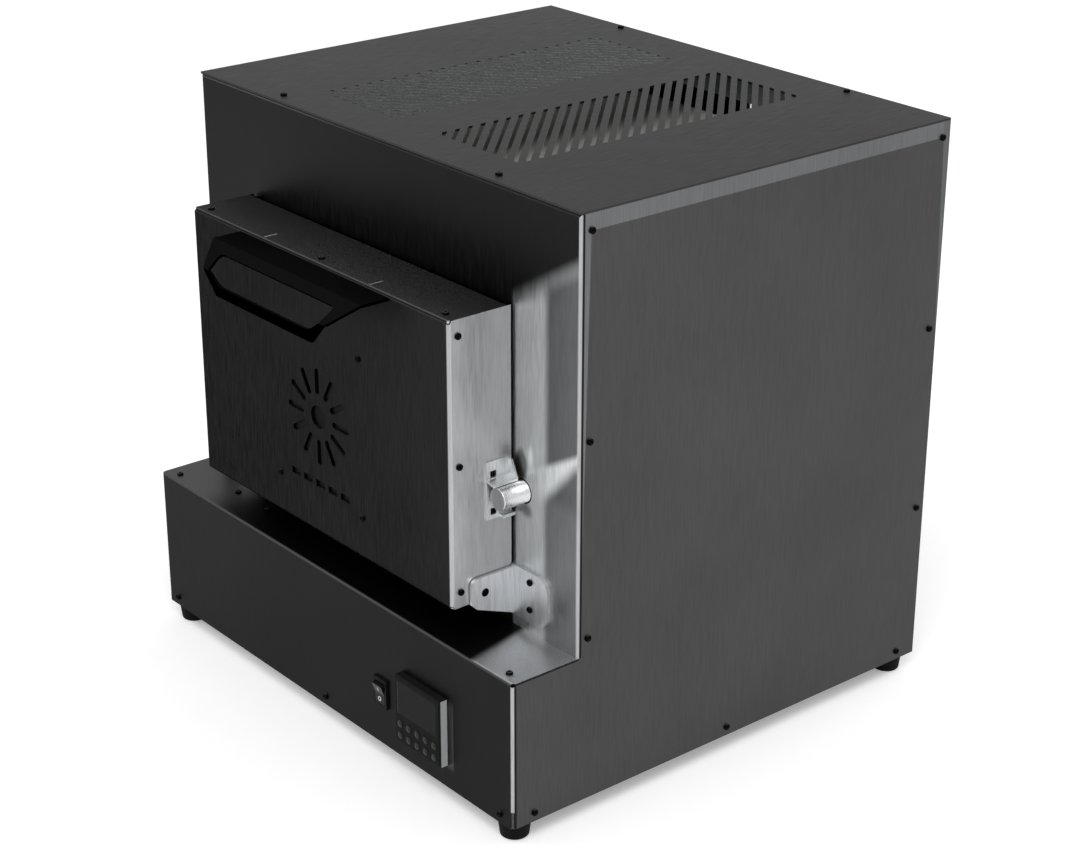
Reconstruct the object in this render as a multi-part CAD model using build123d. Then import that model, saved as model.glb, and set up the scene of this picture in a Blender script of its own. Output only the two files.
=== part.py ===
# Electric forge: a sheet-steel case with a fire-brick chamber and a door that drops down.
# Millimetres, +X to the right, +Y to the back, +Z up. The model is drawn with y = 0 on the
# base's front face and z = 0 on the base's underside, and moved to its own origin when written.
from build123d import *
import os

# Case
WIDTH = 405.0
DEPTH = 366.0
HEIGHT = 392.0
BASE_H = 103.3
STEP_D = 51.5
SHEET = 1.5
BEND_R = 2.5
PANEL_GAP = 0.3
RETURN_D = 3.0
PAN_FLANGE = 12.0
PAN_SLOT_LEN = 35.0
PAN_SLOT_GAP = 5.0
CUT_MARGIN = 1.0
LEG_W = 20.0
RELIEF_R = 1.2

# Screws of the case and door
SCREW_R = 1.25
SCREW_LEN = 7.0
HEAD_R = 2.25
HEAD_H = 1.6
HEAD_ROUND = 0.95
SOCKET_R = 0.95
SOCKET_D = 0.8
HOLE_CLEAR = 0.2
SIDE_SCREW_EDGE = 8.5
SIDE_SCREW_TOP = 12.0
SIDE_SCREW_LOW = 12.0
PAN_SCREW_Z = 6.5
PAN_SCREW_END = 17.7
FRONT_SCREW_EDGE = 12.5
STEP_SCREW_Y = 8.0
TOP_SCREW_X = 115.0
TOP_SCREW_FRONT = 10.0
TOP_SCREW_REAR = 5.6

# Top vents
VENT_INNER_X = 22.0
VENT_OUTER_X = 104.5
VENT_FRONT_EDGE = 34.0
VENT_REAR_EDGE = 39.0
VENT_PITCH = 10.38
VENT_W = 3.0

# Back vents
BACK_SLOT_W = 3.0
BACK_SLOT_H = 40.0
BACK_SLOT_PITCH = 10.0
BACK_SLOT_COUNT = 9
BACK_SLOT_X = 60.0
BACK_SLOT_LOW_Z = 46.0
BACK_SLOT_DROP = 47.0

# Feet
FOOT_R = 11.0
FOOT_TIP_R = 9.5
FOOT_H = 13.0
FOOT_INSET_X = 13.5
FOOT_INSET_Y = 12.5
FOOT_BORE_R = 4.5

# Chamber
CHAMBER_W = 180.0
CHAMBER_MARGIN = 45.5
REAR_SPACE = 27.5
BRICK_T = 64.0
WALL_T = 50.0
BLANKET_T = 20.0
BLANKET_SETBACK = 6.0
MOUTH_MARGIN = 2.0
DECK_FLANGE = 15.0
HEARTH_T = 8.0
HEARTH_GAP = 6.0

# Heating elements
ROD_R = 2.5
GROOVE_CLEAR = 0.5
ROD_SINK = 2.0
ROD_PASSES = 4
ROD_SPREAD = 0.24
ROD_FRONT_IN = 23.0
ROD_TURN_BACK = 30.0
ROD_TAIL = 16.0
TERMINAL_R = 7.0
TERMINAL_LEN = 10.0
TERMINAL_BORE_CLEAR = 0.2
PROBE_R = 3.0
PROBE_REACH = 20.0
PROBE_RISE = 0.3
PROBE_HEAD_R = 9.0
PROBE_HEAD_LEN = 10.0
PROBE_CLEAR = 0.2

# Door
DOOR_W = 281.1
DOOR_LIFT = 25.1
DOOR_DROP = 72.6
DOOR_FACE_Y = 2.0
DOOR_TOP_END = 48.0
DOOR_SIDE_END = 49.6
DOOR_SEAT_GAP = 0.3
DOOR_BEND_R = 2.5
BRIDGE_W = 3.0
BRIDGE_X = (-132.0, -54.0, 4.0, 62.5)
LINER_FRONT_Y = 5.0
LINER_BACK_Y = 49.5
DOOR_SCREW_Y = 9.3
DOOR_TOP_SCREW_X = 129.0
DOOR_SIDE_SCREW_END = 10.6
SLIT_X = 58.5
SLIT_W = 1.6
SLIT_FRONT_Y = 4.5
SLIT_LEN = 10.5
GUSSET_H = 12.0
GUSSET_CLEAR = 0.15
SLAB_EDGE_X = 15.55
SLAB_EDGE_Z = 21.5
SLAB_FRONT_Y = 20.0
SLAB_LIP = 8.0

# Cut pattern in the door's face and the plate behind it
PATTERN_X = 0.5
PATTERN_SCREW_W = 94.0
PATTERN_SCREW_LOW = 29.2
PATTERN_SCREW_HIGH = 51.8
PATTERN_PLATE_EDGE = 8.0
RAY_COUNT = 12
RAY_IN_R = 16.0
RAY_OUT_R = 34.0
RAY_W = 4.5
HUB_R = 8.0
DASH_COUNT = 5
DASH_W = 10.0
DASH_H = 5.0
DASH_PITCH = 14.0
DASH_DROP = 48.0

# Door handle, a folded sheet
HANDLE_T = 2.0
HANDLE_REACH = 21.0
HANDLE_SLOPE_OUT = 17.5
HANDLE_SLOPE_DOWN = 12.9
HANDLE_DROP = 15.4
HANDLE_TOP_HALF = 82.0
HANDLE_KNEE_HALF = 67.9
HANDLE_END_HALF = 53.5
HANDLE_HOLE_TOP_HALF = 64.0
HANDLE_HOLE_KNEE_HALF = 62.2
HANDLE_HOLE_END_HALF = 50.5
HANDLE_BAND = 7.2
HANDLE_HOLE_TOP_DROP = 4.6
HANDLE_HOLE_R = 3.5
HANDLE_TAB_HALF = 33.0
HANDLE_TAB_LEN = 16.0
HANDLE_SLOT_CLEAR = 0.2

# Door hinges
PIVOT_Y = 26.3
PIVOT_RISE = 6.0
PIN_R = 2.8
PIN_CLEAR = 0.05
PIN_COLLAR_R = 5.0
PIN_TAIL = 3.5
EAR_GAP = 0.45
EAR_T = 2.5
EAR_FRONT_Y = 15.7
EAR_RISE = 11.0
EAR_FRONT_DROP = 5.9
EAR_CHAMFER = 4.3
EAR_BACK_RISE = 8.7
EAR_CORNER_R = 5.0
LEAF_W = 35.5
LEAF_CORNER_R = 10.0
LEAF_RISE = 1.6
HINGE_SCREW_IN = 18.7
HINGE_SCREW_DROP = 3.6
HINGE_SCREW_PITCH = 19.0

# Door catch
STUD_R = 7.4
STUD_GAP = 0.45
STUD_RISE = 70.6
STUD_FRONT_Y = 31.0
STUD_NUT_R = 9.0
STUD_NUT_T = 5.0
STUD_HOLE_CLEAR = 0.9
CLIP_T = 1.5
CLIP_FRONT_Y = 29.3
CLIP_BACK_Y = 48.5
CLIP_DROP = 16.5
CLIP_RISE = 22.5
CLIP_SLOT_Y = 34.3
CLIP_SLOT_W = 4.6
CLIP_SLOT_H = 4.6
CLIP_SLOT_RISE = 13.7
CLIP_SLOT_DROP = 11.3
CLIP_LEAF_H = 1.8
CLIP_LEAF_OUT = 6.6
CLIP_LEAF_RISE = 1.5
CLIP_WING_RISE = 20.5
CLIP_JAW_OUT = 4.0
CLIP_JAW_T = 2.0

# Rocker switch
SWITCH_X = 66.0
SWITCH_Z = 39.0
SWITCH_BEZEL_W = 15.0
SWITCH_BEZEL_H = 21.5
SWITCH_BEZEL_T = 2.0
SWITCH_BODY_W = 13.0
SWITCH_BODY_H = 19.0
SWITCH_BODY_D = 20.0
SWITCH_CUT_CLEAR = 0.1
SWITCH_WALL = 1.2
ROCKER_SIDE_GAP = 0.3
ROCKER_HALF_H = 7.6
ROCKER_PIVOT_Y = 1.5
ROCKER_RISE = 4.6
ROCKER_DIP = 3.4
ROCKER_BACK = 3.5
ROCKER_BACK_HALF = 4.0
ROCKER_TILT = 10.0
ROCKER_PIN_R = 1.2
ROCKER_PIN_LEN = 0.8

# Temperature controller
CONTROL_X = 113.0
CONTROL_Z = 40.5
CONTROL_BEZEL = 48.0
CONTROL_BEZEL_T = 6.5
CONTROL_BODY = 44.6
CONTROL_BODY_D = 70.0
CONTROL_CUT_CLEAR = 0.2
WINDOW_W = 41.0
WINDOW_H = 24.0
WINDOW_UP = 9.0
WINDOW_T = 1.2
KEY_COLUMNS = 5
KEY_ROWS = 2
KEY_PITCH_X = 9.0
KEY_PITCH_Z = 8.5
KEY_CENTRE_DOWN = 14.3
KEY_R = 2.5
KEY_CLEAR = 0.05
KEY_PROUD = 0.9
KEY_LEN = 3.6
KEY_WELL = 1.0

# Parts inside the base
SINK_W = 100.0
SINK_D = 80.0
SINK_H = 38.0
SINK_BASE = 7.0
SINK_FINS = 10
SINK_FIN_T = 2.5
SINK_X = -70.0
SINK_REAR = 176.0
RELAY_W = 45.0
RELAY_D = 58.0
RELAY_H = 23.0
RELAY_RECESS_W = 15.75
RELAY_RECESS_H = 9.2
BLOCK_W = 54.0
BLOCK_D = 20.0
BLOCK_H = 18.0
BLOCK_SCREW_EDGE = 84.0
BLOCK_SCREW_PITCH = 37.5
BLOCK_Y = 23.6
BLOCK_WAYS = 5

# Power inlet
INLET_EDGE = 82.5
INLET_Z = 46.0
INLET_FLANGE_W = 50.0
INLET_FLANGE_H = 24.0
INLET_FLANGE_T = 2.5
INLET_BODY_W = 27.0
INLET_BODY_H = 19.5
INLET_BODY_D = 22.0
INLET_SOCKET_W = 24.0
INLET_SOCKET_H = 16.5
INLET_SOCKET_D = 17.0
INLET_SCREW_PITCH = 40.0
INLET_CUT_CLEAR = 0.3
INLET_PIN_W = 4.0
INLET_PIN_T = 2.0
INLET_PIN_LEN = 15.0
INLET_PIN_PITCH = 7.0
INLET_PIN_LIFT = 1.5
INLET_PIN_DROP = 2.5

# Places that follow from the sizes above
half_w = WIDTH / 2
inner_w = half_w - SHEET
post_in_w = half_w - 2 * SHEET
top_under = HEIGHT - SHEET
door_half = DOOR_W / 2
hole_r = SCREW_R + HOLE_CLEAR
front_y = STEP_D + SHEET
back_in = DEPTH - SHEET
door_z0 = BASE_H + DOOR_LIFT
door_z1 = HEIGHT - DOOR_DROP
chamber_half = CHAMBER_W / 2
chamber_low = door_z0 + CHAMBER_MARGIN
chamber_high = door_z1 - CHAMBER_MARGIN
chamber_h = chamber_high - chamber_low
chamber_z = (chamber_low + chamber_high) / 2
brick_back = back_in - REAR_SPACE
chamber_back = brick_back - BRICK_T
brick_half = chamber_half + WALL_T
deck_top = chamber_low - BRICK_T
panel_front = STEP_D + RETURN_D + PANEL_GAP
base_panel_front = RETURN_D + PANEL_GAP
handle_top = door_z1 - SHEET
seat_y = STEP_D - DOOR_SEAT_GAP
rod_x = chamber_half + ROD_SINK
rod_front_y = front_y + ROD_FRONT_IN
rod_end_y = brick_back + ROD_TAIL
rod_pitch = ROD_SPREAD * chamber_h
rod_rows = [chamber_z + ((ROD_PASSES - 1) / 2 - i) * rod_pitch for i in range(ROD_PASSES)]
probe_z = chamber_z + PROBE_RISE * chamber_h
slab_w = DOOR_W - 2 * SLAB_EDGE_X
slab_h = door_z1 - door_z0 - 2 * SLAB_EDGE_Z
pattern_low = door_z0 + PATTERN_SCREW_LOW
pattern_high = door_z1 - PATTERN_SCREW_HIGH
pattern_z = (pattern_low + pattern_high) / 2
pivot_z = door_z0 + PIVOT_RISE
ear_top_z = pivot_z + EAR_RISE
ear_low_front_z = pivot_z - EAR_FRONT_DROP
ear_low_back_z = BASE_H + EAR_BACK_RISE
hinge_screw_z = pivot_z - HINGE_SCREW_DROP
stud_z = door_z0 + STUD_RISE
vent_front_y = STEP_D + VENT_FRONT_EDGE
vent_rear_y = DEPTH - VENT_REAR_EDGE
back_slot_high_z = HEIGHT - BACK_SLOT_DROP
front_screw_x = half_w - FRONT_SCREW_EDGE
block_screw_x = BLOCK_SCREW_EDGE - half_w
inlet_x = INLET_EDGE - half_w
sink_y = DEPTH - SINK_REAR
stud_x = door_half + CLIP_T + STUD_GAP + STUD_R
ear_in = door_half + EAR_GAP
switch_in_w = SWITCH_BODY_W - 2 * SWITCH_WALL
switch_in_h = SWITCH_BODY_H - 2 * SWITCH_WALL
clip_slots = (stud_z + CLIP_SLOT_RISE, stud_z - CLIP_SLOT_DROP)
lowest_handle = handle_top - HANDLE_SLOPE_DOWN - HANDLE_DROP
handle_front = DOOR_FACE_Y - HANDLE_REACH - HANDLE_SLOPE_OUT
row_back = DEPTH + INLET_FLANGE_T + HEAD_H
to_row = Pos(0, -(handle_front + row_back) / 2, FOOT_H)


def block(x0, x1, y0, y1, z0, z1):
    """A box from its low to its high corner."""
    return Pos((x0 + x1) / 2, (y0 + y1) / 2, (z0 + z1) / 2) * Box(x1 - x0, y1 - y0, z1 - z0)


def rod(axis, radius, start, end):
    """A cylinder along X, Y or Z between two points that differ along that axis."""
    low = Vector(*start)
    length = (Vector(*end) - low).length
    turn = {"X": Rot(0, 90, 0), "Y": Rot(-90, 0, 0), "Z": Rot(0, 0, 0)}[axis]
    return Pos(*start) * turn * Cylinder(radius, length, align=(Align.CENTER, Align.CENTER, Align.MIN))


def drill(solid, axis, radius, points, reach=2 * SHEET):
    """Cuts round holes along an axis, each centred on its point."""
    step = {"X": (reach, 0, 0), "Y": (0, reach, 0), "Z": (0, 0, reach)}[axis]
    for p in points:
        start = tuple(a - b for a, b in zip(p, step))
        end = tuple(a + b for a, b in zip(p, step))
        solid = solid - rod(axis, radius, start, end)
    return solid


def prism_yz(points, x0, x1):
    """A straight prism along X over an outline of (y, z) points."""
    face = make_face(Polyline(*[(x0, y, z) for y, z in points], close=True))
    return extrude(face, amount=x1 - x0, dir=(1, 0, 0))


def prism_xz(points, y0, y1):
    """A straight prism along Y over an outline of (x, z) points."""
    face = make_face(Polyline(*[(x, y0, z) for x, z in points], close=True))
    return extrude(face, amount=y1 - y0, dir=(0, 1, 0))


def angle_bar(x0, x1, y0, y1, z0, z1, keep):
    """A folded angle: the box, less the box that leaves only the walls named in keep."""
    cut = {
        "x0": x0 + SHEET if "x0" in keep else x0,
        "x1": x1 - SHEET if "x1" in keep else x1,
        "y0": y0 + SHEET if "y0" in keep else y0,
        "y1": y1 - SHEET if "y1" in keep else y1,
        "z0": z0 + SHEET if "z0" in keep else z0,
        "z1": z1 - SHEET if "z1" in keep else z1,
    }
    return block(x0, x1, y0, y1, z0, z1) - block(*cut.values())


def button_screw(point, direction):
    """A socket button screw whose head sits on point and stands out along direction."""
    shank = rod("Z", SCREW_R, (0, 0, -SCREW_LEN), (0, 0, 0))
    head = rod("Z", HEAD_R, (0, 0, 0), (0, 0, HEAD_H))
    head = fillet(head.edges().group_by(Axis.Z)[-1], HEAD_ROUND)
    socket = Pos(0, 0, HEAD_H - SOCKET_D / 2) * extrude(RegularPolygon(SOCKET_R, 6), SOCKET_D / 2, both=True)
    screw = shank + head - socket
    turn = {
        "+X": Rot(0, 90, 0), "-X": Rot(0, -90, 0),
        "+Y": Rot(-90, 0, 0), "-Y": Rot(90, 0, 0),
        "+Z": Rot(0, 0, 0), "-Z": Rot(180, 0, 0),
    }[direction]
    return Pos(*point) * turn * screw


def screws(points, direction):
    """One screw at each point, all with heads the same way."""
    return [button_screw(p, direction) for p in points]


def mirrored(points):
    """The points and their mirror images across x = 0, each once."""
    return points + [(-x, y, z) for x, y, z in points if x != 0]


# Screw places
side_edge_front = STEP_D + SIDE_SCREW_EDGE
side_edge_back = DEPTH - SIDE_SCREW_EDGE + SHEET
side_screw_z = (BASE_H + SIDE_SCREW_LOW, (BASE_H + HEIGHT) / 2, HEIGHT - SIDE_SCREW_TOP)
side_points = [(half_w, y, z) for y in (side_edge_front, side_edge_back) for z in side_screw_z]
side_points += [(half_w, y, PAN_SCREW_Z) for y in (PAN_SCREW_END, DEPTH / 2, DEPTH - PAN_SCREW_END)]
side_points = mirrored(side_points)
top_points = mirrored([
    (TOP_SCREW_X, STEP_D + TOP_SCREW_FRONT, HEIGHT),
    (TOP_SCREW_X, DEPTH - TOP_SCREW_REAR, HEIGHT),
])
back_points = mirrored([(inner_w - SIDE_SCREW_EDGE, DEPTH, z) for z in side_screw_z])
back_points += mirrored([(inner_w - SIDE_SCREW_EDGE, DEPTH, PAN_SCREW_Z), (0, DEPTH, PAN_SCREW_Z)])
inlet_points = [(inlet_x + s * INLET_SCREW_PITCH / 2, DEPTH + INLET_FLANGE_T, INLET_Z) for s in (-1, 1)]
front_points = mirrored([(0, 0, PAN_SCREW_Z), (front_screw_x, 0, PAN_SCREW_Z)])
step_points = mirrored([(front_screw_x, STEP_SCREW_Y, BASE_H)])
block_points = [(block_screw_x + s * BLOCK_SCREW_PITCH / 2, BLOCK_Y, BASE_H) for s in (-1, 1)]
door_top_points = mirrored([(0, DOOR_SCREW_Y, door_z1), (DOOR_TOP_SCREW_X, DOOR_SCREW_Y, door_z1)])
door_low_points = [(x, y, door_z0) for x, y, z in door_top_points]
door_side_z = (door_z0 + DOOR_SIDE_SCREW_END, (door_z0 + door_z1) / 2, door_z1 - DOOR_SIDE_SCREW_END)
door_right_points = [(door_half, DOOR_SCREW_Y, z) for z in door_side_z]
door_left_points = [(-x, y, z) for x, y, z in door_right_points]
pattern_points = [
    (PATTERN_X + sx * PATTERN_SCREW_W / 2, DOOR_FACE_Y, z)
    for sx in (-1, 1) for z in (pattern_low, pattern_high)
]
hinge_x = ear_in + HINGE_SCREW_IN
hinge_points = mirrored([
    (hinge_x, STEP_D - EAR_T, hinge_screw_z + s * HINGE_SCREW_PITCH / 2) for s in (-1, 1)
])
foot_centres = [
    (sx * (half_w - FOOT_INSET_X), y)
    for sx in (-1, 1) for y in (FOOT_INSET_Y, DEPTH - FOOT_INSET_Y)
]


def side_panel():
    """The right side sheet, a stepped outline that starts behind the front's bends."""
    outline = [
        (base_panel_front, 0), (DEPTH, 0), (DEPTH, top_under), (panel_front, top_under),
        (panel_front, BASE_H), (front_y, BASE_H), (front_y, BASE_H - SHEET),
        (base_panel_front, BASE_H - SHEET),
    ]
    sheet = prism_yz(outline, inner_w, half_w)
    return drill(sheet, "X", hole_r, [p for p in side_points if p[0] > 0])


def base_pan():
    """The floor sheet with its rim folded up inside the covers."""
    pan = block(-inner_w, inner_w, SHEET, back_in, 0, PAN_FLANGE)
    pan = fillet(pan.edges().filter_by(Axis.Z).group_by(Axis.Y)[0], BEND_R - SHEET)
    pan -= block(-post_in_w, post_in_w, 2 * SHEET, back_in - SHEET, SHEET, PAN_FLANGE)
    pan = drill(pan, "X", hole_r, [p for p in side_points if p[2] == PAN_SCREW_Z])
    pan = drill(pan, "Y", hole_r, front_points + [p for p in back_points if p[2] == PAN_SCREW_Z])
    pan = drill(pan, "Z", hole_r, [(x, y, 0) for x, y in foot_centres])
    slot_end = sink_y - SINK_D / 2 - PAN_SLOT_GAP
    for i in range(SINK_FINS - 1):
        x = SINK_X + (i - (SINK_FINS - 2) / 2) * SINK_W / SINK_FINS
        pan -= block(x - VENT_W / 2, x + VENT_W / 2, slot_end - PAN_SLOT_LEN, slot_end, 0, SHEET)
    return pan


def base_front_cover():
    """The base's front and step top, one sheet folded along its front and side edges."""
    cover = block(-half_w, half_w, 0, front_y, 0, BASE_H)
    front_edges = cover.edges().filter_by(Axis.Z).group_by(Axis.Y)[0]
    top_edge = cover.edges().filter_by(Axis.X).group_by(Axis.Y)[0].sort_by(Axis.Z)[-1]
    cover = fillet(list(front_edges) + [top_edge], BEND_R)
    hollow = block(-inner_w, inner_w, SHEET, front_y, 0, BASE_H - SHEET)
    hollow_edges = hollow.edges().filter_by(Axis.Z).group_by(Axis.Y)[0]
    hollow_top = hollow.edges().filter_by(Axis.X).group_by(Axis.Y)[0].sort_by(Axis.Z)[-1]
    cover -= fillet(list(hollow_edges) + [hollow_top], BEND_R - SHEET)
    for side in (-1, 1):
        x_low, x_high = sorted((side * inner_w, side * half_w))
        cover -= block(x_low, x_high, RETURN_D, front_y, 0, BASE_H - SHEET)
        corner_x = side * (half_w - BEND_R / 3)
        cover -= rod("Z", RELIEF_R, (corner_x, BEND_R / 3, 0), (corner_x, BEND_R / 3, PAN_FLANGE))
    cover = drill(cover, "Y", hole_r, front_points)
    cover = drill(cover, "Z", hole_r, step_points + block_points)
    clear = SWITCH_CUT_CLEAR
    cover -= block(
        SWITCH_X - SWITCH_BODY_W / 2 - clear, SWITCH_X + SWITCH_BODY_W / 2 + clear, 0, SHEET,
        SWITCH_Z - SWITCH_BODY_H / 2 - clear, SWITCH_Z + SWITCH_BODY_H / 2 + clear,
    )
    half = CONTROL_BODY / 2 + CONTROL_CUT_CLEAR
    cover -= block(CONTROL_X - half, CONTROL_X + half, 0, SHEET, CONTROL_Z - half, CONTROL_Z + half)
    return cover


def front_panel():
    """The upper front sheet with short returns at its sides and top, and the chamber mouth."""
    panel = block(-half_w, half_w, STEP_D, STEP_D + RETURN_D, BASE_H, top_under)
    edges = list(panel.edges().filter_by(Axis.Z).group_by(Axis.Y)[0])
    edges.append(panel.edges().filter_by(Axis.X).group_by(Axis.Y)[0].sort_by(Axis.Z)[-1])
    panel = fillet(edges, BEND_R)
    hollow = block(-inner_w, inner_w, front_y, STEP_D + RETURN_D, BASE_H, top_under - SHEET)
    panel -= hollow
    mouth = chamber_half + MOUTH_MARGIN
    panel -= block(-mouth, mouth, STEP_D, front_y, chamber_low - MOUTH_MARGIN, chamber_high + MOUTH_MARGIN)
    for side in (-1, 1):
        corner = (side * half_w, STEP_D, top_under - RELIEF_R / 2)
        panel -= Pos(*corner) * Sphere(RELIEF_R)
    panel = drill(panel, "Y", hole_r, hinge_points, reach=2 * EAR_T)
    return drill(panel, "Y", STUD_R + STUD_HOLE_CLEAR, [(stud_x, STEP_D, stud_z)])


def vent_slots():
    """The right half's slanted vent slots, cut off square at the edges of their field."""
    field = block(VENT_INNER_X, VENT_OUTER_X, vent_front_y, vent_rear_y, top_under, HEIGHT)
    span = VENT_OUTER_X - VENT_INNER_X
    count = int((vent_rear_y - vent_front_y + span) / VENT_PITCH)
    offset = (vent_rear_y - vent_front_y + span - (count - 1) * VENT_PITCH) / 2
    slots = []
    for i in range(count):
        y_at_inner = vent_front_y + offset + i * VENT_PITCH
        middle = Pos(VENT_INNER_X + span / 2, y_at_inner - span / 2, (top_under + HEIGHT) / 2)
        bar = middle * Rot(0, 0, -45) * Box(3 * span, VENT_W, SHEET)
        slots += (bar & field).solids()
    return slots


def top_cover():
    """The flat top sheet with two mirrored fields of slanted vents."""
    cover = block(-half_w, half_w, STEP_D, DEPTH, top_under, HEIGHT)
    right = Compound(vent_slots())
    cover = cover - right - mirror(right, about=Plane.YZ)
    return drill(cover, "Z", hole_r, top_points)


def back_panel():
    """The back sheet with its air slots and the power inlet's opening."""
    panel = block(-inner_w, inner_w, back_in, DEPTH, 0, top_under)
    panel = drill(panel, "Y", hole_r, back_points + inlet_points, reach=3 * SHEET + INLET_FLANGE_T)
    half_cut_w = INLET_BODY_W / 2 + INLET_CUT_CLEAR
    half_cut_h = INLET_BODY_H / 2 + INLET_CUT_CLEAR
    panel -= block(
        inlet_x - half_cut_w, inlet_x + half_cut_w, back_in, DEPTH,
        INLET_Z - half_cut_h, INLET_Z + half_cut_h,
    )
    for z in (BACK_SLOT_LOW_Z, back_slot_high_z):
        for i in range(BACK_SLOT_COUNT):
            x = BACK_SLOT_X + (i - (BACK_SLOT_COUNT - 1) / 2) * BACK_SLOT_PITCH
            panel -= block(
                x - BACK_SLOT_W / 2, x + BACK_SLOT_W / 2, back_in, DEPTH,
                z - BACK_SLOT_H / 2, z + BACK_SLOT_H / 2,
            )
    return panel


def front_post():
    """The right front corner post, an angle behind the front panel."""
    post = angle_bar(
        inner_w - LEG_W, inner_w, front_y, front_y + LEG_W, PAN_FLANGE, top_under - SHEET, ("x1", "y0"))
    return drill(post, "X", hole_r, [p for p in side_points if p[0] > 0 and p[1] == side_edge_front])


def rear_post():
    """The right rear corner post, an angle against the back panel."""
    post = angle_bar(
        inner_w - LEG_W, inner_w, back_in - LEG_W, back_in, PAN_FLANGE, top_under, ("x1", "y1"))
    post = drill(post, "X", hole_r, [p for p in side_points if p[0] > 0 and p[1] == side_edge_back])
    return drill(post, "Y", hole_r, [p for p in back_points if p[0] > 0])


def top_rails():
    """Two angles between the posts that carry the top sheet's screws."""
    low = top_under - LEG_W
    front = angle_bar(
        -post_in_w, post_in_w, front_y + SHEET, front_y + SHEET + LEG_W, low, top_under, ("y0", "z1"))
    rear = angle_bar(
        -post_in_w, post_in_w, back_in - SHEET - LEG_W, back_in - SHEET, low, top_under, ("y0", "z1"))
    places = [(x, y, top_under) for x, y, z in top_points]
    return [drill(bar, "Z", hole_r, places) for bar in (front, rear)]


def step_rail():
    """The angle that joins the step top to the right side sheet."""
    bar = angle_bar(
        inner_w - LEG_W, inner_w, 2 * SHEET, front_y, BASE_H - SHEET - LEG_W, BASE_H - SHEET, ("x1", "z1"))
    return drill(bar, "Z", hole_r, step_points)


def chamber_deck():
    """The tray between the posts that the bricks stand on."""
    deck = block(-post_in_w, post_in_w, front_y + SHEET, back_in - SHEET, deck_top - DECK_FLANGE, deck_top)
    deck -= block(
        -post_in_w + SHEET, post_in_w - SHEET, front_y + 2 * SHEET, back_in - 2 * SHEET,
        deck_top - DECK_FLANGE, deck_top - SHEET,
    )
    return drill(deck, "X", hole_r, [p for p in side_points if p[2] == side_screw_z[0]], reach=3 * SHEET)


def element_path(side):
    """The rod's centre line in the wall: four passes joined by half turns."""
    x = side * rod_x
    turn = rod_pitch / 2
    back = chamber_back - ROD_TURN_BACK
    z = rod_rows
    runs = [
        Line((x, rod_end_y, z[0]), (x, rod_front_y, z[0])),
        ThreePointArc((x, rod_front_y, z[0]), (x, rod_front_y - turn, z[0] - turn), (x, rod_front_y, z[1])),
        Line((x, rod_front_y, z[1]), (x, back, z[1])),
        ThreePointArc((x, back, z[1]), (x, back + turn, z[1] - turn), (x, back, z[2])),
        Line((x, back, z[2]), (x, rod_front_y, z[2])),
        ThreePointArc((x, rod_front_y, z[2]), (x, rod_front_y - turn, z[2] - turn), (x, rod_front_y, z[3])),
        Line((x, rod_front_y, z[3]), (x, rod_end_y, z[3])),
    ]
    return Wire([edge for run in runs for edge in run.edges()])


def along(path, radius):
    """A round bar along a path."""
    start = Plane(origin=path @ 0, z_dir=path % 0)
    return sweep(start * Circle(radius), path=path)


def wall_brick(side):
    """A side wall of the chamber with the groove that holds its element."""
    x_low, x_high = sorted((side * chamber_half, side * brick_half))
    wall = block(x_low, x_high, front_y, brick_back, chamber_low, chamber_high)
    return wall - along(element_path(side), ROD_R + GROOVE_CLEAR)


def rear_brick():
    """The chamber's rear wall, notched for the elements' tails and bored for the probe."""
    brick = block(-chamber_half, chamber_half, chamber_back, brick_back, chamber_low, chamber_high)
    for side in (-1, 1):
        brick -= along(element_path(side), ROD_R + GROOVE_CLEAR)
    return brick - rod("Y", PROBE_R + PROBE_CLEAR, (0, chamber_back, probe_z), (0, brick_back, probe_z))


def blanket():
    """The fibre blanket laid over the roof and down both sides of the bricks."""
    outer = block(
        -brick_half - BLANKET_T, brick_half + BLANKET_T, front_y + BLANKET_SETBACK, brick_back,
        deck_top, chamber_high + BRICK_T + BLANKET_T)
    return outer - block(-brick_half, brick_half, front_y, brick_back, deck_top, chamber_high + BRICK_T)


def thermocouple():
    """The probe's ceramic sheath and its head behind the rear wall."""
    z = probe_z
    sheath = rod("Y", PROBE_R, (0, chamber_back - PROBE_REACH, z), (0, brick_back + PROBE_HEAD_LEN, z))
    return sheath + rod("Y", PROBE_HEAD_R, (0, brick_back, z), (0, brick_back + PROBE_HEAD_LEN, z))


def element_terminals():
    """A ceramic sleeve on each element tail."""
    sleeves = []
    for side in (-1, 1):
        for z in (rod_rows[-1], rod_rows[0]):
            start = (side * rod_x, rod_end_y - TERMINAL_LEN, z)
            end = (side * rod_x, rod_end_y - ROD_R / 2, z)
            sleeve = rod("Y", TERMINAL_R, start, end)
            sleeves.append(sleeve - rod("Y", ROD_R + TERMINAL_BORE_CLEAR, start, end))
    return sleeves


def clip_openings(solid, x0, x1):
    """Cuts the catch's two slots through whatever lies between two places along X."""
    for z in clip_slots:
        solid = solid - block(
            x0, x1, CLIP_SLOT_Y - CLIP_SLOT_W / 2, CLIP_SLOT_Y + CLIP_SLOT_W / 2,
            z - CLIP_SLOT_H / 2, z + CLIP_SLOT_H / 2)
    return solid


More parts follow.
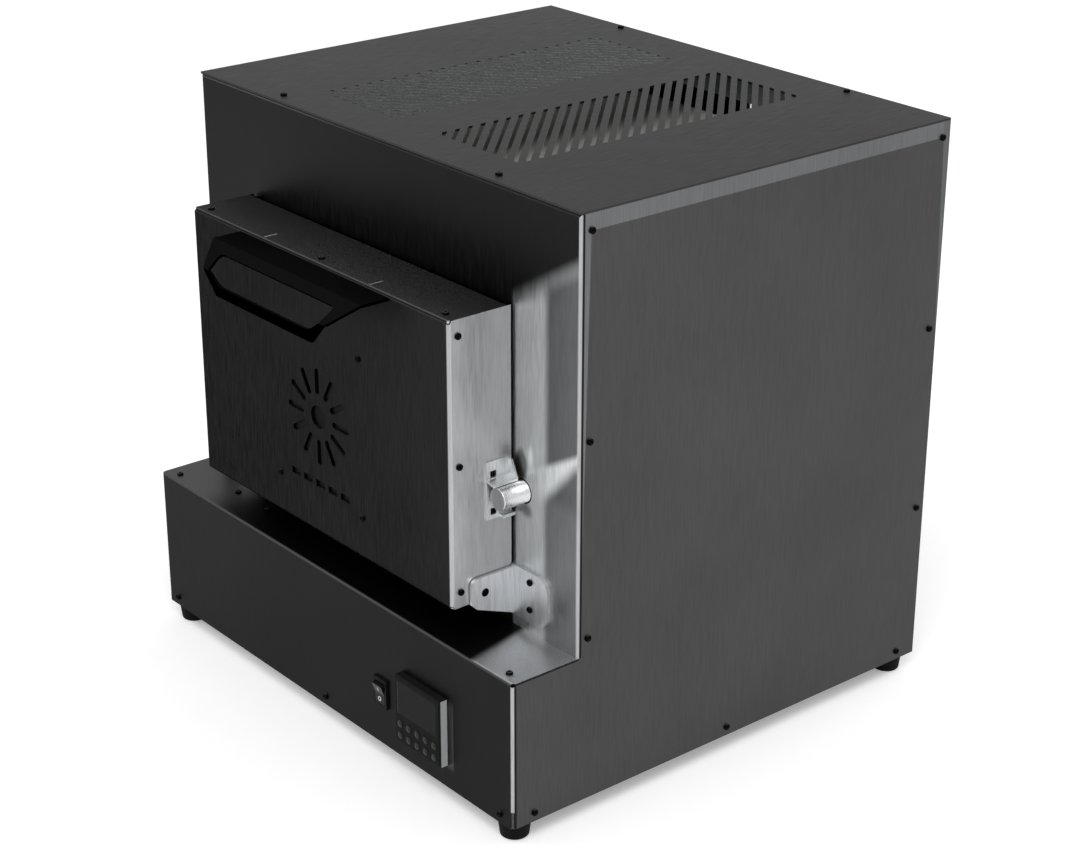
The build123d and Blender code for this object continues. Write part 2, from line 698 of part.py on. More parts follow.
def door_shell():
    """The door's outer pan, folded at all four edges of its face."""
    shell = block(-door_half, door_half, DOOR_FACE_Y, DOOR_SIDE_END, door_z0, door_z1)
    shell = fillet(shell.faces().sort_by(Axis.Y)[0].edges(), DOOR_BEND_R)
    hollow = block(
        -door_half + SHEET, door_half - SHEET, DOOR_FACE_Y + SHEET, DOOR_SIDE_END,
        door_z0 + SHEET, door_z1 - SHEET)
    shell -= fillet(hollow.faces().sort_by(Axis.Y)[0].edges(), DOOR_BEND_R - SHEET)
    for low, high in ((door_z0, door_z0 + SHEET), (door_z1 - SHEET, door_z1)):
        shell -= block(-door_half + SHEET, door_half - SHEET, DOOR_TOP_END, DOOR_SIDE_END, low, high)
    for x in BRIDGE_X:
        shell += block(
            x - BRIDGE_W / 2, x + BRIDGE_W / 2, DOOR_TOP_END - SHEET, seat_y, door_z1 - SHEET, door_z1)
    for sx in (-1, 1):
        for z in (door_z0, door_z1):
            shell -= Pos(sx * door_half, DOOR_FACE_Y, z) * Sphere(DOOR_BEND_R)
    for side in (-1, 1):
        shell -= block(
            side * SLIT_X - SLIT_W / 2, side * SLIT_X + SLIT_W / 2, SLIT_FRONT_Y, SLIT_FRONT_Y + SLIT_LEN,
            door_z1 - SHEET, door_z1)
    shell -= block(
        -HANDLE_TAB_HALF - HANDLE_SLOT_CLEAR, HANDLE_TAB_HALF + HANDLE_SLOT_CLEAR,
        DOOR_FACE_Y, DOOR_FACE_Y + SHEET + DOOR_BEND_R,
        handle_top - HANDLE_T - HANDLE_SLOT_CLEAR, handle_top)
    for i in range(RAY_COUNT):
        ray = Pos((RAY_IN_R + RAY_OUT_R) / 2, 0, 0) * SlotOverall(RAY_OUT_R - RAY_IN_R, RAY_W)
        ray = Rot(0, 0, i * 360 / RAY_COUNT) * ray
        shell -= Pos(PATTERN_X, DOOR_FACE_Y, pattern_z) * Rot(90, 0, 0) * extrude(ray, SHEET, both=True)
    shell = drill(shell, "Y", HUB_R, [(PATTERN_X, DOOR_FACE_Y, pattern_z)])
    for i in range(DASH_COUNT):
        x = PATTERN_X + (i - (DASH_COUNT - 1) / 2) * DASH_PITCH
        z = pattern_z - DASH_DROP
        shell -= block(
            x - DASH_W / 2, x + DASH_W / 2, DOOR_FACE_Y, DOOR_FACE_Y + SHEET, z - DASH_H / 2, z + DASH_H / 2)
    shell = clip_openings(shell, door_half - SHEET, door_half)
    shell = drill(shell, "Z", hole_r, door_top_points + door_low_points)
    shell = drill(shell, "X", hole_r, door_right_points + door_left_points)
    shell = drill(shell, "Y", hole_r, pattern_points)
    return drill(shell, "X", PIN_R + HOLE_CLEAR, [(s * door_half, PIVOT_Y, pivot_z) for s in (-1, 1)])


def door_liner():
    """The inner pan that closes the door's back and is screwed inside the shell's rim."""
    half = door_half - SHEET
    low = door_z0 + SHEET
    high = door_z1 - SHEET
    liner = block(-half, half, LINER_FRONT_Y, LINER_BACK_Y, low, high)
    liner -= block(
        -half + SHEET, half - SHEET, LINER_FRONT_Y, LINER_BACK_Y - SHEET, low + SHEET, high - SHEET)
    slab_half_w = slab_w / 2 - SLAB_LIP
    slab_half_h = slab_h / 2 - SLAB_LIP
    liner -= block(
        -slab_half_w, slab_half_w, LINER_BACK_Y - SHEET, LINER_BACK_Y,
        chamber_z - slab_half_h, chamber_z + slab_half_h)
    liner -= block(
        -HANDLE_TAB_HALF - CUT_MARGIN, HANDLE_TAB_HALF + CUT_MARGIN,
        LINER_FRONT_Y, DOOR_FACE_Y + HANDLE_TAB_LEN + CUT_MARGIN, high - SHEET, high)
    for side in (-1, 1):
        liner -= block(
            side * SLIT_X - SLIT_W / 2, side * SLIT_X + SLIT_W / 2, LINER_FRONT_Y,
            SLIT_FRONT_Y + SLIT_LEN, high - SHEET, high)
    liner = clip_openings(liner, half - SHEET, half)
    liner = drill(liner, "Z", hole_r, door_top_points + door_low_points)
    liner = drill(liner, "X", hole_r, door_right_points + door_left_points)
    return drill(liner, "X", PIN_R + HOLE_CLEAR, [(s * half, PIVOT_Y, pivot_z) for s in (-1, 1)])


def door_slab():
    """The insulating slab, stepped so that the liner's window holds it."""
    wide = block(
        -slab_w / 2, slab_w / 2, SLAB_FRONT_Y, LINER_BACK_Y - SHEET,
        chamber_z - slab_h / 2, chamber_z + slab_h / 2)
    slim_w = slab_w / 2 - SLAB_LIP - HOLE_CLEAR
    slim_h = slab_h / 2 - SLAB_LIP - HOLE_CLEAR
    slim = block(-slim_w, slim_w, LINER_BACK_Y - SHEET, seat_y, chamber_z - slim_h, chamber_z + slim_h)
    return wide + slim


def door_gussets():
    """Two small plates whose edges show in the slits of the door's top."""
    plates = []
    for side in (-1, 1):
        x = side * SLIT_X
        half = SLIT_W / 2 - GUSSET_CLEAR
        plates.append(block(
            x - half, x + half, SLIT_FRONT_Y + GUSSET_CLEAR, SLIT_FRONT_Y + SLIT_LEN - GUSSET_CLEAR,
            door_z1 - GUSSET_H, door_z1))
    return plates


def pattern_plate():
    """The dark plate behind the openings in the door's face."""
    half_w_plate = PATTERN_SCREW_W / 2 + PATTERN_PLATE_EDGE
    back = DOOR_FACE_Y + SHEET
    plate = block(
        PATTERN_X - half_w_plate, PATTERN_X + half_w_plate, back, back + SHEET,
        pattern_low - PATTERN_PLATE_EDGE, pattern_high + PATTERN_PLATE_EDGE)
    return drill(plate, "Y", hole_r, pattern_points, reach=3 * SHEET)


def door_handle():
    """The handle: a level flange, a slope and a drop, trimmed to taper, with a finger window."""
    y1 = DOOR_FACE_Y - HANDLE_REACH
    y2 = y1 - HANDLE_SLOPE_OUT
    knee = handle_top - HANDLE_SLOPE_DOWN
    outer = [
        (DOOR_FACE_Y + HANDLE_TAB_LEN, handle_top), (y1, handle_top), (y2, knee), (y2, lowest_handle),
        (y2 + HANDLE_T, lowest_handle), (y2 + HANDLE_T, knee - HANDLE_T / 3),
        (y1 + HANDLE_T / 3, handle_top - HANDLE_T), (DOOR_FACE_Y + HANDLE_TAB_LEN, handle_top - HANDLE_T),
    ]
    sheet = prism_yz(outer, -HANDLE_TOP_HALF, HANDLE_TOP_HALF)
    side = [(HANDLE_TOP_HALF, handle_top), (HANDLE_KNEE_HALF, knee), (HANDLE_END_HALF, lowest_handle)]
    outline = [(HANDLE_TOP_HALF, handle_top + CUT_MARGIN)] + side
    outline += [(-x, z) for x, z in reversed(outline)]
    sheet &= prism_xz(outline, y2 - CUT_MARGIN, DOOR_FACE_Y + HANDLE_TAB_LEN + CUT_MARGIN)
    hole_top = handle_top - HANDLE_HOLE_TOP_DROP
    hole_low = lowest_handle + HANDLE_BAND
    hole = [
        (HANDLE_HOLE_TOP_HALF, hole_top), (HANDLE_HOLE_KNEE_HALF, knee), (HANDLE_HOLE_END_HALF, hole_low),
    ]
    hole += [(-x, z) for x, z in reversed(hole)]
    cutter = prism_xz(hole, y2 - CUT_MARGIN, y1)
    sheet -= fillet(cutter.edges().filter_by(Axis.Y), HANDLE_HOLE_R)
    for side in (-1, 1):
        x_low, x_high = sorted((side * HANDLE_TAB_HALF, side * (HANDLE_TOP_HALF + CUT_MARGIN)))
        sheet -= block(
            x_low, x_high, DOOR_FACE_Y, DOOR_FACE_Y + HANDLE_TAB_LEN, lowest_handle, handle_top + CUT_MARGIN)
    return drill(sheet, "Z", hole_r, [(0, DOOR_SCREW_Y, handle_top)])


def hinge_bracket():
    """The right hinge bracket: a leaf on the front panel and an ear beside the door."""
    ear_out = ear_in + EAR_T
    ear = [
        (STEP_D, ear_top_z), (EAR_FRONT_Y, ear_top_z), (EAR_FRONT_Y, ear_low_front_z),
        (EAR_FRONT_Y + EAR_CHAMFER, ear_low_front_z - EAR_CHAMFER), (STEP_D, ear_low_back_z),
    ]
    bracket = prism_yz(ear, ear_in, ear_out)
    front_edges = bracket.edges().filter_by(Axis.X).sort_by(Axis.Y)[:3]
    bracket = fillet(front_edges.sort_by(Axis.Z)[-1], EAR_CORNER_R)
    leaf = block(ear_in, ear_in + LEAF_W, STEP_D - EAR_T, STEP_D, ear_low_back_z, ear_top_z + LEAF_RISE)
    leaf = fillet(leaf.edges().filter_by(Axis.Y).group_by(Axis.X)[-1], LEAF_CORNER_R)
    bracket += leaf
    bracket = drill(bracket, "Y", hole_r, hinge_points)
    return drill(bracket, "X", PIN_R + PIN_CLEAR, [(ear_in, PIVOT_Y, pivot_z)], reach=2 * EAR_T)


def door_pivot(side):
    """A pivot pin with its thin spacer between the door's side and the ear."""
    def at(x):
        return (side * x, PIVOT_Y, pivot_z)
    ends = sorted((at(door_half - 2 * SHEET - PIN_TAIL), at(ear_in + EAR_T)))
    spacer = sorted((at(door_half), at(ear_in - EAR_GAP / 3)))
    return rod("X", PIN_R, *ends) + rod("X", PIN_COLLAR_R, *spacer)


def catch_stud():
    """The turned stud that passes through the front panel, with its flange nut behind."""
    nut_end = front_y + STUD_NUT_T
    stud = rod("Y", STUD_R, (stud_x, STUD_FRONT_Y, stud_z), (stud_x, nut_end, stud_z))
    stud = chamfer(stud.edges().sort_by(Axis.Y)[0], HOLE_CLEAR)
    return stud + rod("Y", STUD_NUT_R, (stud_x, front_y, stud_z), (stud_x, nut_end, stud_z))


def catch_clip():
    """The spring clip on the door's side: a slotted plate, a leaf over the stud, a wing and a jaw."""
    inner = door_half
    outer = inner + CLIP_T
    root = inner + CLIP_T / 2
    low = stud_z - CLIP_DROP
    clip = block(inner, outer, CLIP_FRONT_Y, CLIP_BACK_Y, low, stud_z + CLIP_RISE)
    clip = clip_openings(clip, inner, outer)
    tip_z = stud_z + STUD_R + DOOR_SEAT_GAP
    tip = [(outer + CLIP_LEAF_OUT, tip_z), (outer + CLIP_LEAF_OUT, tip_z + CLIP_LEAF_H)]
    root_z = tip_z + CLIP_LEAF_RISE
    leaf = [(root, root_z), *tip, (root, root_z + CLIP_LEAF_H)]
    wing = [(root, root_z), *tip, (outer + CLIP_T, stud_z + CLIP_WING_RISE), (root, stud_z + CLIP_WING_RISE)]
    clip += prism_xz(leaf, CLIP_FRONT_Y, CLIP_BACK_Y)
    clip += prism_xz(wing, CLIP_BACK_Y - CLIP_T, CLIP_BACK_Y)
    jaw_y = CLIP_SLOT_Y + CLIP_SLOT_W
    return clip + block(root, outer + CLIP_JAW_OUT, jaw_y, CLIP_BACK_Y, low, low + CLIP_JAW_T)


def switch_housing():
    """The switch's snap-in body with its bezel and the well for the rocker."""
    bezel = block(
        SWITCH_X - SWITCH_BEZEL_W / 2, SWITCH_X + SWITCH_BEZEL_W / 2, -SWITCH_BEZEL_T, 0,
        SWITCH_Z - SWITCH_BEZEL_H / 2, SWITCH_Z + SWITCH_BEZEL_H / 2)
    bezel = fillet(bezel.edges().filter_by(Axis.Y), SWITCH_WALL)
    body = block(
        SWITCH_X - SWITCH_BODY_W / 2, SWITCH_X + SWITCH_BODY_W / 2, 0, SWITCH_BODY_D,
        SWITCH_Z - SWITCH_BODY_H / 2, SWITCH_Z + SWITCH_BODY_H / 2)
    well = block(
        SWITCH_X - switch_in_w / 2, SWITCH_X + switch_in_w / 2, -SWITCH_BEZEL_T, SWITCH_BODY_D / 2,
        SWITCH_Z - switch_in_h / 2, SWITCH_Z + switch_in_h / 2)
    housing = bezel + body - well
    reach = switch_in_w / 2 + ROCKER_PIN_LEN
    return housing - rod(
        "X", ROCKER_PIN_R + PIN_CLEAR, (SWITCH_X - reach, ROCKER_PIVOT_Y, SWITCH_Z),
        (SWITCH_X + reach, ROCKER_PIVOT_Y, SWITCH_Z))


def rocker():
    """The rocker with a shallow valley in its face, tilted so that its lower end is in."""
    half = switch_in_w / 2 - ROCKER_SIDE_GAP
    outline = [
        (-ROCKER_RISE, ROCKER_HALF_H), (-ROCKER_DIP, 0), (-ROCKER_RISE, -ROCKER_HALF_H),
        (0, -ROCKER_HALF_H), (ROCKER_BACK, -ROCKER_BACK_HALF), (ROCKER_BACK, ROCKER_BACK_HALF),
        (0, ROCKER_HALF_H),
    ]
    piece = prism_yz(outline, -half, half)
    reach = half + ROCKER_SIDE_GAP + ROCKER_PIN_LEN - ROCKER_SIDE_GAP / 3
    piece += rod("X", ROCKER_PIN_R, (-reach, 0, 0), (reach, 0, 0))
    return Pos(SWITCH_X, ROCKER_PIVOT_Y, SWITCH_Z) * Rot(ROCKER_TILT, 0, 0) * piece


def key_places():
    """The centres of the controller's keys, row by row from the top left."""
    places = []
    for row in range(KEY_ROWS):
        for column in range(KEY_COLUMNS):
            x = CONTROL_X + (column - (KEY_COLUMNS - 1) / 2) * KEY_PITCH_X
            z = CONTROL_Z - KEY_CENTRE_DOWN - (row - (KEY_ROWS - 1) / 2) * KEY_PITCH_Z
            places.append((x, -CONTROL_BEZEL_T, z))
    return places


def controller_body():
    """The controller's bezel and case, recessed for its window and bored for its keys."""
    half = CONTROL_BEZEL / 2
    bezel = block(CONTROL_X - half, CONTROL_X + half, -CONTROL_BEZEL_T, 0, CONTROL_Z - half, CONTROL_Z + half)
    bezel = chamfer(bezel.faces().sort_by(Axis.Y)[0].edges(), SWITCH_WALL)
    inner = CONTROL_BODY / 2
    body = bezel + block(
        CONTROL_X - inner, CONTROL_X + inner, 0, CONTROL_BODY_D, CONTROL_Z - inner, CONTROL_Z + inner)
    body -= window_block(0)
    for x, y, z in key_places():
        body -= rod("Y", KEY_R + KEY_CLEAR, (x, y - CUT_MARGIN, z), (x, y + KEY_LEN - KEY_PROUD + KEY_WELL, z))
    return body


def window_block(less):
    """The window's space in the bezel, drawn in at its edges by the given amount."""
    z = CONTROL_Z + WINDOW_UP
    return block(
        CONTROL_X - WINDOW_W / 2 + less, CONTROL_X + WINDOW_W / 2 - less,
        -CONTROL_BEZEL_T, -CONTROL_BEZEL_T + WINDOW_T,
        z - WINDOW_H / 2 + less, z + WINDOW_H / 2 - less)


def key(place):
    """A round key that stands a little out of the bezel."""
    x, y, z = place
    cap = rod("Y", KEY_R, (x, y - KEY_PROUD, z), (x, y - KEY_PROUD + KEY_LEN, z))
    return fillet(cap.edges().group_by(Axis.Y)[0], KEY_PROUD / 3)


def relay_sink():
    """The relay's finned heat sink, fins up and down on both sides of its web."""
    low = SHEET
    y_low, y_high = sink_y - SINK_D / 2, sink_y + SINK_D / 2
    sink = block(SINK_X - SINK_W / 2, SINK_X + SINK_W / 2, y_low, y_high, low, low + SINK_H)
    gap = (SINK_W - SINK_FINS * SINK_FIN_T) / (SINK_FINS - 1)
    for i in range(SINK_FINS - 1):
        x = SINK_X - SINK_W / 2 + SINK_FIN_T + i * (gap + SINK_FIN_T)
        sink -= block(x, x + gap, y_low, y_high, low, low + SINK_H - SINK_BASE)
    return sink


def relay():
    """The solid-state relay with its terminal recesses."""
    low = SHEET + SINK_H
    case = block(
        SINK_X - RELAY_W / 2, SINK_X + RELAY_W / 2, sink_y - RELAY_D / 2, sink_y + RELAY_D / 2,
        low, low + RELAY_H)
    recess = RELAY_W / 4
    for sx in (-1, 1):
        for sy in (-1, 1):
            x = SINK_X + sx * recess
            y = sink_y + sy * (RELAY_D / 2 - recess / 2)
            case -= block(
                x - RELAY_RECESS_W / 2, x + RELAY_RECESS_W / 2, y - recess / 2, y + recess / 2,
                low + RELAY_H - RELAY_RECESS_H, low + RELAY_H)
    return case


def terminal_block():
    """The terminal block that hangs under the step top."""
    high = BASE_H - SHEET
    body = block(
        block_screw_x - BLOCK_W / 2, block_screw_x + BLOCK_W / 2,
        BLOCK_Y - BLOCK_D / 2, BLOCK_Y + BLOCK_D / 2, high - BLOCK_H, high)
    pitch = BLOCK_SCREW_PITCH / BLOCK_WAYS
    z = high - BLOCK_H / 2
    for i in range(BLOCK_WAYS):
        x = block_screw_x + (i - (BLOCK_WAYS - 1) / 2) * pitch
        body -= rod("Y", pitch / 4, (x, BLOCK_Y - BLOCK_D, z), (x, BLOCK_Y + BLOCK_D, z))
    return drill(body, "Z", hole_r, block_points, reach=SCREW_LEN + SHEET)


def power_inlet():
    """The three-pin appliance inlet on the back panel."""
    flange = block(
        inlet_x - INLET_FLANGE_W / 2, inlet_x + INLET_FLANGE_W / 2, DEPTH, DEPTH + INLET_FLANGE_T,
        INLET_Z - INLET_FLANGE_H / 2, INLET_Z + INLET_FLANGE_H / 2)
    flange = fillet(flange.edges().filter_by(Axis.Y), INLET_FLANGE_T)
    outside = DEPTH + INLET_FLANGE_T
    body = block(
        inlet_x - INLET_BODY_W / 2, inlet_x + INLET_BODY_W / 2, outside - INLET_BODY_D, DEPTH,
        INLET_Z - INLET_BODY_H / 2, INLET_Z + INLET_BODY_H / 2)
    socket = block(
        inlet_x - INLET_SOCKET_W / 2, inlet_x + INLET_SOCKET_W / 2, outside - INLET_SOCKET_D, outside,
        INLET_Z - INLET_SOCKET_H / 2, INLET_Z + INLET_SOCKET_H / 2)
    top_corners = socket.edges().filter_by(Axis.Y).group_by(Axis.Z)[-1]
    inlet = flange + body - chamfer(top_corners, INLET_PIN_PITCH / 2)
    pins = ((-INLET_PIN_PITCH, -INLET_PIN_DROP), (0, INLET_PIN_LIFT), (INLET_PIN_PITCH, -INLET_PIN_DROP))
    for dx, dz in pins:
        inlet += block(
            inlet_x + dx - INLET_PIN_T / 2, inlet_x + dx + INLET_PIN_T / 2,
            outside - INLET_SOCKET_D, outside - INLET_SOCKET_D + INLET_PIN_LEN,
            INLET_Z + dz - INLET_PIN_W / 2, INLET_Z + dz + INLET_PIN_W / 2)
    return drill(inlet, "Y", hole_r, inlet_points)


def foot(x, y):
    """A rubber foot, narrower at its tip and bored for its screw."""
    shape = Pos(x, y, -FOOT_H) * Cone(FOOT_TIP_R, FOOT_R, FOOT_H, align=(Align.CENTER, Align.CENTER, Align.MIN))
    shape -= rod("Z", FOOT_BORE_R, (x, y, -FOOT_H), (x, y, -SCREW_LEN / 2))
    return shape - rod("Z", hole_r, (x, y, -SCREW_LEN / 2), (x, y, 0))


def write(name, *solids):
    """Moves the solids to the part's origin and writes them as one node."""
    moved = [to_row * solid for piece in solids for solid in piece.solids()]
    os.makedirs("parts", exist_ok=True)
    export_step(Compound(moved) if len(moved) > 1 else moved[0], "parts/" + name + ".step")


def flip(solid):
    """The left-hand twin of a right-hand piece."""
    return mirror(solid, about=Plane.YZ)


right_side = side_panel()
write("base_pan", base_pan())
write("side_panel_right", right_side)
write("side_panel_left", flip(right_side))
write("base_front_cover", base_front_cover())
write("front_panel", front_panel())
write("top_cover", top_cover())
write("back_panel", back_panel())
for name, post in (("front", front_post()), ("rear", rear_post())):
    write("post_" + name + "_right", post)
    write("post_" + name + "_left", flip(post))
write("top_rails", *top_rails())
write("step_rails", step_rail(), flip(step_rail()))
write("chamber_deck", chamber_deck())

write("brick_floor", block(-brick_half, brick_half, front_y, brick_back, deck_top, chamber_low))
write("brick_roof", block(-brick_half, brick_half, front_y, brick_back, chamber_high, chamber_high + BRICK_T))
write("brick_left", wall_brick(-1))
write("brick_right", wall_brick(1))
write("brick_rear", rear_brick())
write("fibre_blanket", blanket())
write("hearth_plate", block(
    -chamber_half + HEARTH_GAP, chamber_half - HEARTH_GAP, front_y + HEARTH_GAP, chamber_back - HEARTH_GAP,
    chamber_low, chamber_low + HEARTH_T))
write("heating_element_left", along(element_path(-1), ROD_R))
write("heating_element_right", along(element_path(1), ROD_R))
write("element_terminals", *element_terminals())
write("thermocouple", thermocouple())

write("relay_heat_sink", relay_sink())
write("solid_state_relay", relay())
write("terminal_block", terminal_block())
write("power_inlet", power_inlet())
write("feet", *[foot(x, y) for x, y in foot_centres])

write("switch_housing", switch_housing())
write("rocker", rocker())
write("controller_body", controller_body())
write("controller_window", window_block(GUSSET_CLEAR))
for number, place in enumerate(key_places(), start=1):
    write("key_" + str(number), key(place))

write("hinge_bracket_right", hinge_bracket())
write("hinge_bracket_left", flip(hinge_bracket()))
write("catch_stud", catch_stud())

write("door_shell", door_shell())
write("door_liner", door_liner())
write("door_slab", door_slab())
write("door_gussets", *door_gussets())
write("door_handle", door_handle())
write("pattern_plate", pattern_plate())
write("catch_clip", catch_clip())
write("door_pivots", door_pivot(1), door_pivot(-1))

side_right = screws([p for p in side_points if p[0] > 0], "+X")
side_left = screws([p for p in side_points if p[0] < 0], "-X")
side_left += screws(back_points + inlet_points, "+Y")
upright = screws(top_points + step_points + block_points, "+Z")
write("case_screws", *side_right, *side_left, *upright, *screws(front_points, "-Y"))
write("hinge_screws", *screws(hinge_points, "-Y"))
write("foot_screws", *screws([(x, y, -SCREW_LEN / 2) for x, y in foot_centres], "-Z"))
door_sides = screws(door_right_points, "+X") + screws(door_left_points, "-X")
write("door_screws", *door_sides, *screws(door_top_points, "+Z"), *screws(door_low_points, "-Z"))
write("pattern_screws", *screws(pattern_points, "-Y"))
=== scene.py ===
"""Electric forge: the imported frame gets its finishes, its finer pieces and a plain studio."""
import math

import bmesh
import bpy
import numpy as np
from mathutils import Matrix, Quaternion, Vector


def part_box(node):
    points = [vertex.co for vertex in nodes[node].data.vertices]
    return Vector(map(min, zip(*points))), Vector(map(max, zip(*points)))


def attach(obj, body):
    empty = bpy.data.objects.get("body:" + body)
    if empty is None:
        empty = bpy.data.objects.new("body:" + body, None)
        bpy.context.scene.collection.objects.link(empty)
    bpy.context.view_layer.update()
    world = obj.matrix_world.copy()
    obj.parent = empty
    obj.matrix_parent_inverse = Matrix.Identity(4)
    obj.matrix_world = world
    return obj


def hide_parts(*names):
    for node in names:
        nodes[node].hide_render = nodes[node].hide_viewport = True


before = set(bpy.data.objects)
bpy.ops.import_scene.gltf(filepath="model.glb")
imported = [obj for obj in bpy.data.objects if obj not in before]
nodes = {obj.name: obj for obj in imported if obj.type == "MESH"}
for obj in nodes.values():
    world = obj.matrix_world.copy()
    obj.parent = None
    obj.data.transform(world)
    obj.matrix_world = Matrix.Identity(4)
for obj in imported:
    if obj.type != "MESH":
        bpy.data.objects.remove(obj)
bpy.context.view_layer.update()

bl_info = {
    "name": "Electric forge",
    "version": (1, 0, 0),
    "blender": (4, 5, 0),
    "location": "View3D > Sidebar > Forge",
    "description": "Finishes, fine pieces and studio for a small electric heat-treating forge",
    "category": "Object",
}

MM = 0.001
UP = (0, 0, 1)
RIGHT, LEFT = (1, 0, 0), (-1, 0, 0)
FRONT, BACK = (0, -1, 0), (0, 1, 0)
BEND_STEPS = 5


# ---- colours and nodes ----

def linear(code):
    """An sRGB hex colour as linear red, green and blue, with an alpha of one."""
    parts = [int(code[i:i + 2], 16) / 255 for i in (0, 2, 4)]
    return tuple(v / 12.92 if v <= 0.04045 else ((v + 0.055) / 1.055) ** 2.4 for v in parts) + (1.0,)


def add(tree, kind, inputs=None, **settings):
    """Adds one shader node, with its settings, and with a value or a link for each named input."""
    node = tree.nodes.new("ShaderNode" + kind)
    for key, value in settings.items():
        setattr(node, key, value)
    for key, value in (inputs or {}).items():
        if isinstance(value, bpy.types.NodeSocket):
            tree.links.new(value, node.inputs[key])
        else:
            node.inputs[key].default_value = value
    return node


def blank(name, metallic=0.0, specular=0.5, **constants):
    """A new material with its tree, its shader and the object's own coordinates."""
    material = bpy.data.materials.new(name)
    material.use_nodes = True
    tree = material.node_tree
    shader = tree.nodes["Principled BSDF"]
    shader.inputs["Metallic"].default_value = metallic
    shader.inputs["Specular IOR Level"].default_value = specular
    for key, value in constants.items():
        shader.inputs[key.replace("_", " ")].default_value = value
    place = add(tree, "TexCoord")
    return material, tree, shader, place


def noise(tree, vector, spacing, detail, stretch=(1, 1, 1), roughness=0.5):
    """Noise whose grains are about the given number of millimetres apart, drawn out by stretch."""
    scaled = add(tree, "Mapping", {"Vector": vector, "Scale": tuple(1 / s for s in stretch)})
    grain = add(tree, "TexNoise", {
        "Vector": scaled.outputs[0], "Scale": 1 / (spacing * MM), "Detail": detail, "Roughness": roughness})
    return grain.outputs["Fac"]


def remap(tree, value, low, high, to_low=0.0, to_high=1.0, soft=True):
    """Carries a value from one range to another and holds it at the ends."""
    return add(tree, "MapRange", {
        "Value": value, "From Min": low, "From Max": high, "To Min": to_low, "To Max": to_high,
    }, interpolation_type="SMOOTHSTEP" if soft else "LINEAR").outputs["Result"]


def blend_colours(tree, factor, first, second):
    """The first colour where the factor is nought and the second where it is one."""
    mixer = add(tree, "Mix", data_type="RGBA")
    for index, value in ((0, factor), (6, first), (7, second)):
        if isinstance(value, bpy.types.NodeSocket):
            tree.links.new(value, mixer.inputs[index])
        else:
            mixer.inputs[index].default_value = value
    return mixer.outputs[2]


def beyond(tree, position, direction, start, end):
    """Nought up to start and one from end, in millimetres measured along a direction."""
    reach = add(tree, "VectorMath", {0: position, 1: direction}, operation="DOT_PRODUCT")
    return remap(tree, reach.outputs["Value"], start * MM, end * MM)


def product(tree, values):
    """The product of several values."""
    result = values[0]
    for value in values[1:]:
        result = add(tree, "Math", {0: result, 1: value}, operation="MULTIPLY").outputs[0]
    return result


def bends(tree, normal):
    """Two masks, one for upright bends and one for level bends: each is the product of the two sizes
    of the face's direction that meet in the bend, and nought on flat sheet."""
    sizes = add(tree, "VectorMath", {0: normal}, operation="ABSOLUTE")
    x, y, z = add(tree, "SeparateXYZ", {0: sizes.outputs["Vector"]}).outputs[:3]
    level = add(tree, "Math", {0: x, 1: y}, operation="MAXIMUM").outputs[0]
    return [remap(tree, product(tree, pair), 0.2, 0.42) for pair in ((x, y), (level, z))]


def mask(tree, position, normal, rule):
    """One where a rule holds and nought elsewhere. The rules are past, a distance along a direction; looks,
    the way a face looks; near, inside an ellipsoid; and boxed, inside a box. All lengths are in millimetres."""
    kind, *values = rule
    if kind == "past":
        return beyond(tree, position, *values)
    if kind == "looks":
        reach = add(tree, "VectorMath", {0: normal, 1: values[0]}, operation="DOT_PRODUCT")
        return remap(tree, reach.outputs["Value"], 0.75, 0.95)
    centre, radii, soft = values
    moved = add(tree, "VectorMath", {0: position, 1: tuple(c * MM for c in centre)}, operation="SUBTRACT")
    shared = add(tree, "VectorMath", {
        0: moved.outputs["Vector"], 1: tuple(1 / (r * MM) for r in radii)}, operation="MULTIPLY")
    if kind == "near":
        reach = add(tree, "VectorMath", {0: shared.outputs["Vector"]}, operation="LENGTH").outputs["Value"]
    else:
        sizes = add(tree, "VectorMath", {0: shared.outputs["Vector"]}, operation="ABSOLUTE")
        x, y, z = add(tree, "SeparateXYZ", {0: sizes.outputs["Vector"]}).outputs[:3]
        wider = add(tree, "Math", {0: x, 1: y}, operation="MAXIMUM").outputs[0]
        reach = add(tree, "Math", {0: wider, 1: z}, operation="MAXIMUM").outputs[0]
    return remap(tree, reach, 1.0 - soft, 1.0, 1.0, 0.0)


def patches(tree, place, colour, areas):
    """Lays patches over a colour: each is a shade and the rules that all have to hold."""
    for shade, *rules in areas:
        masks = [mask(tree, place.outputs["Object"], place.outputs["Normal"], rule) for rule in rules]
        colour = blend_colours(tree, product(tree, masks), colour, linear(shade))
    return colour


def roughen(tree, shader, value, low, high):
    """Roughness that follows a pattern between two values."""
    tree.links.new(remap(tree, value, 0.3, 0.7, low, high), shader.inputs["Roughness"])


def raise_surface(tree, shader, height, depth):
    """Relief of the given depth in millimetres."""
    relief = add(tree, "Bump", {"Height": height, "Distance": depth * MM, "Strength": 1.0})
    tree.links.new(relief.outputs[0], shader.inputs["Normal"])


# ---- finishes ----

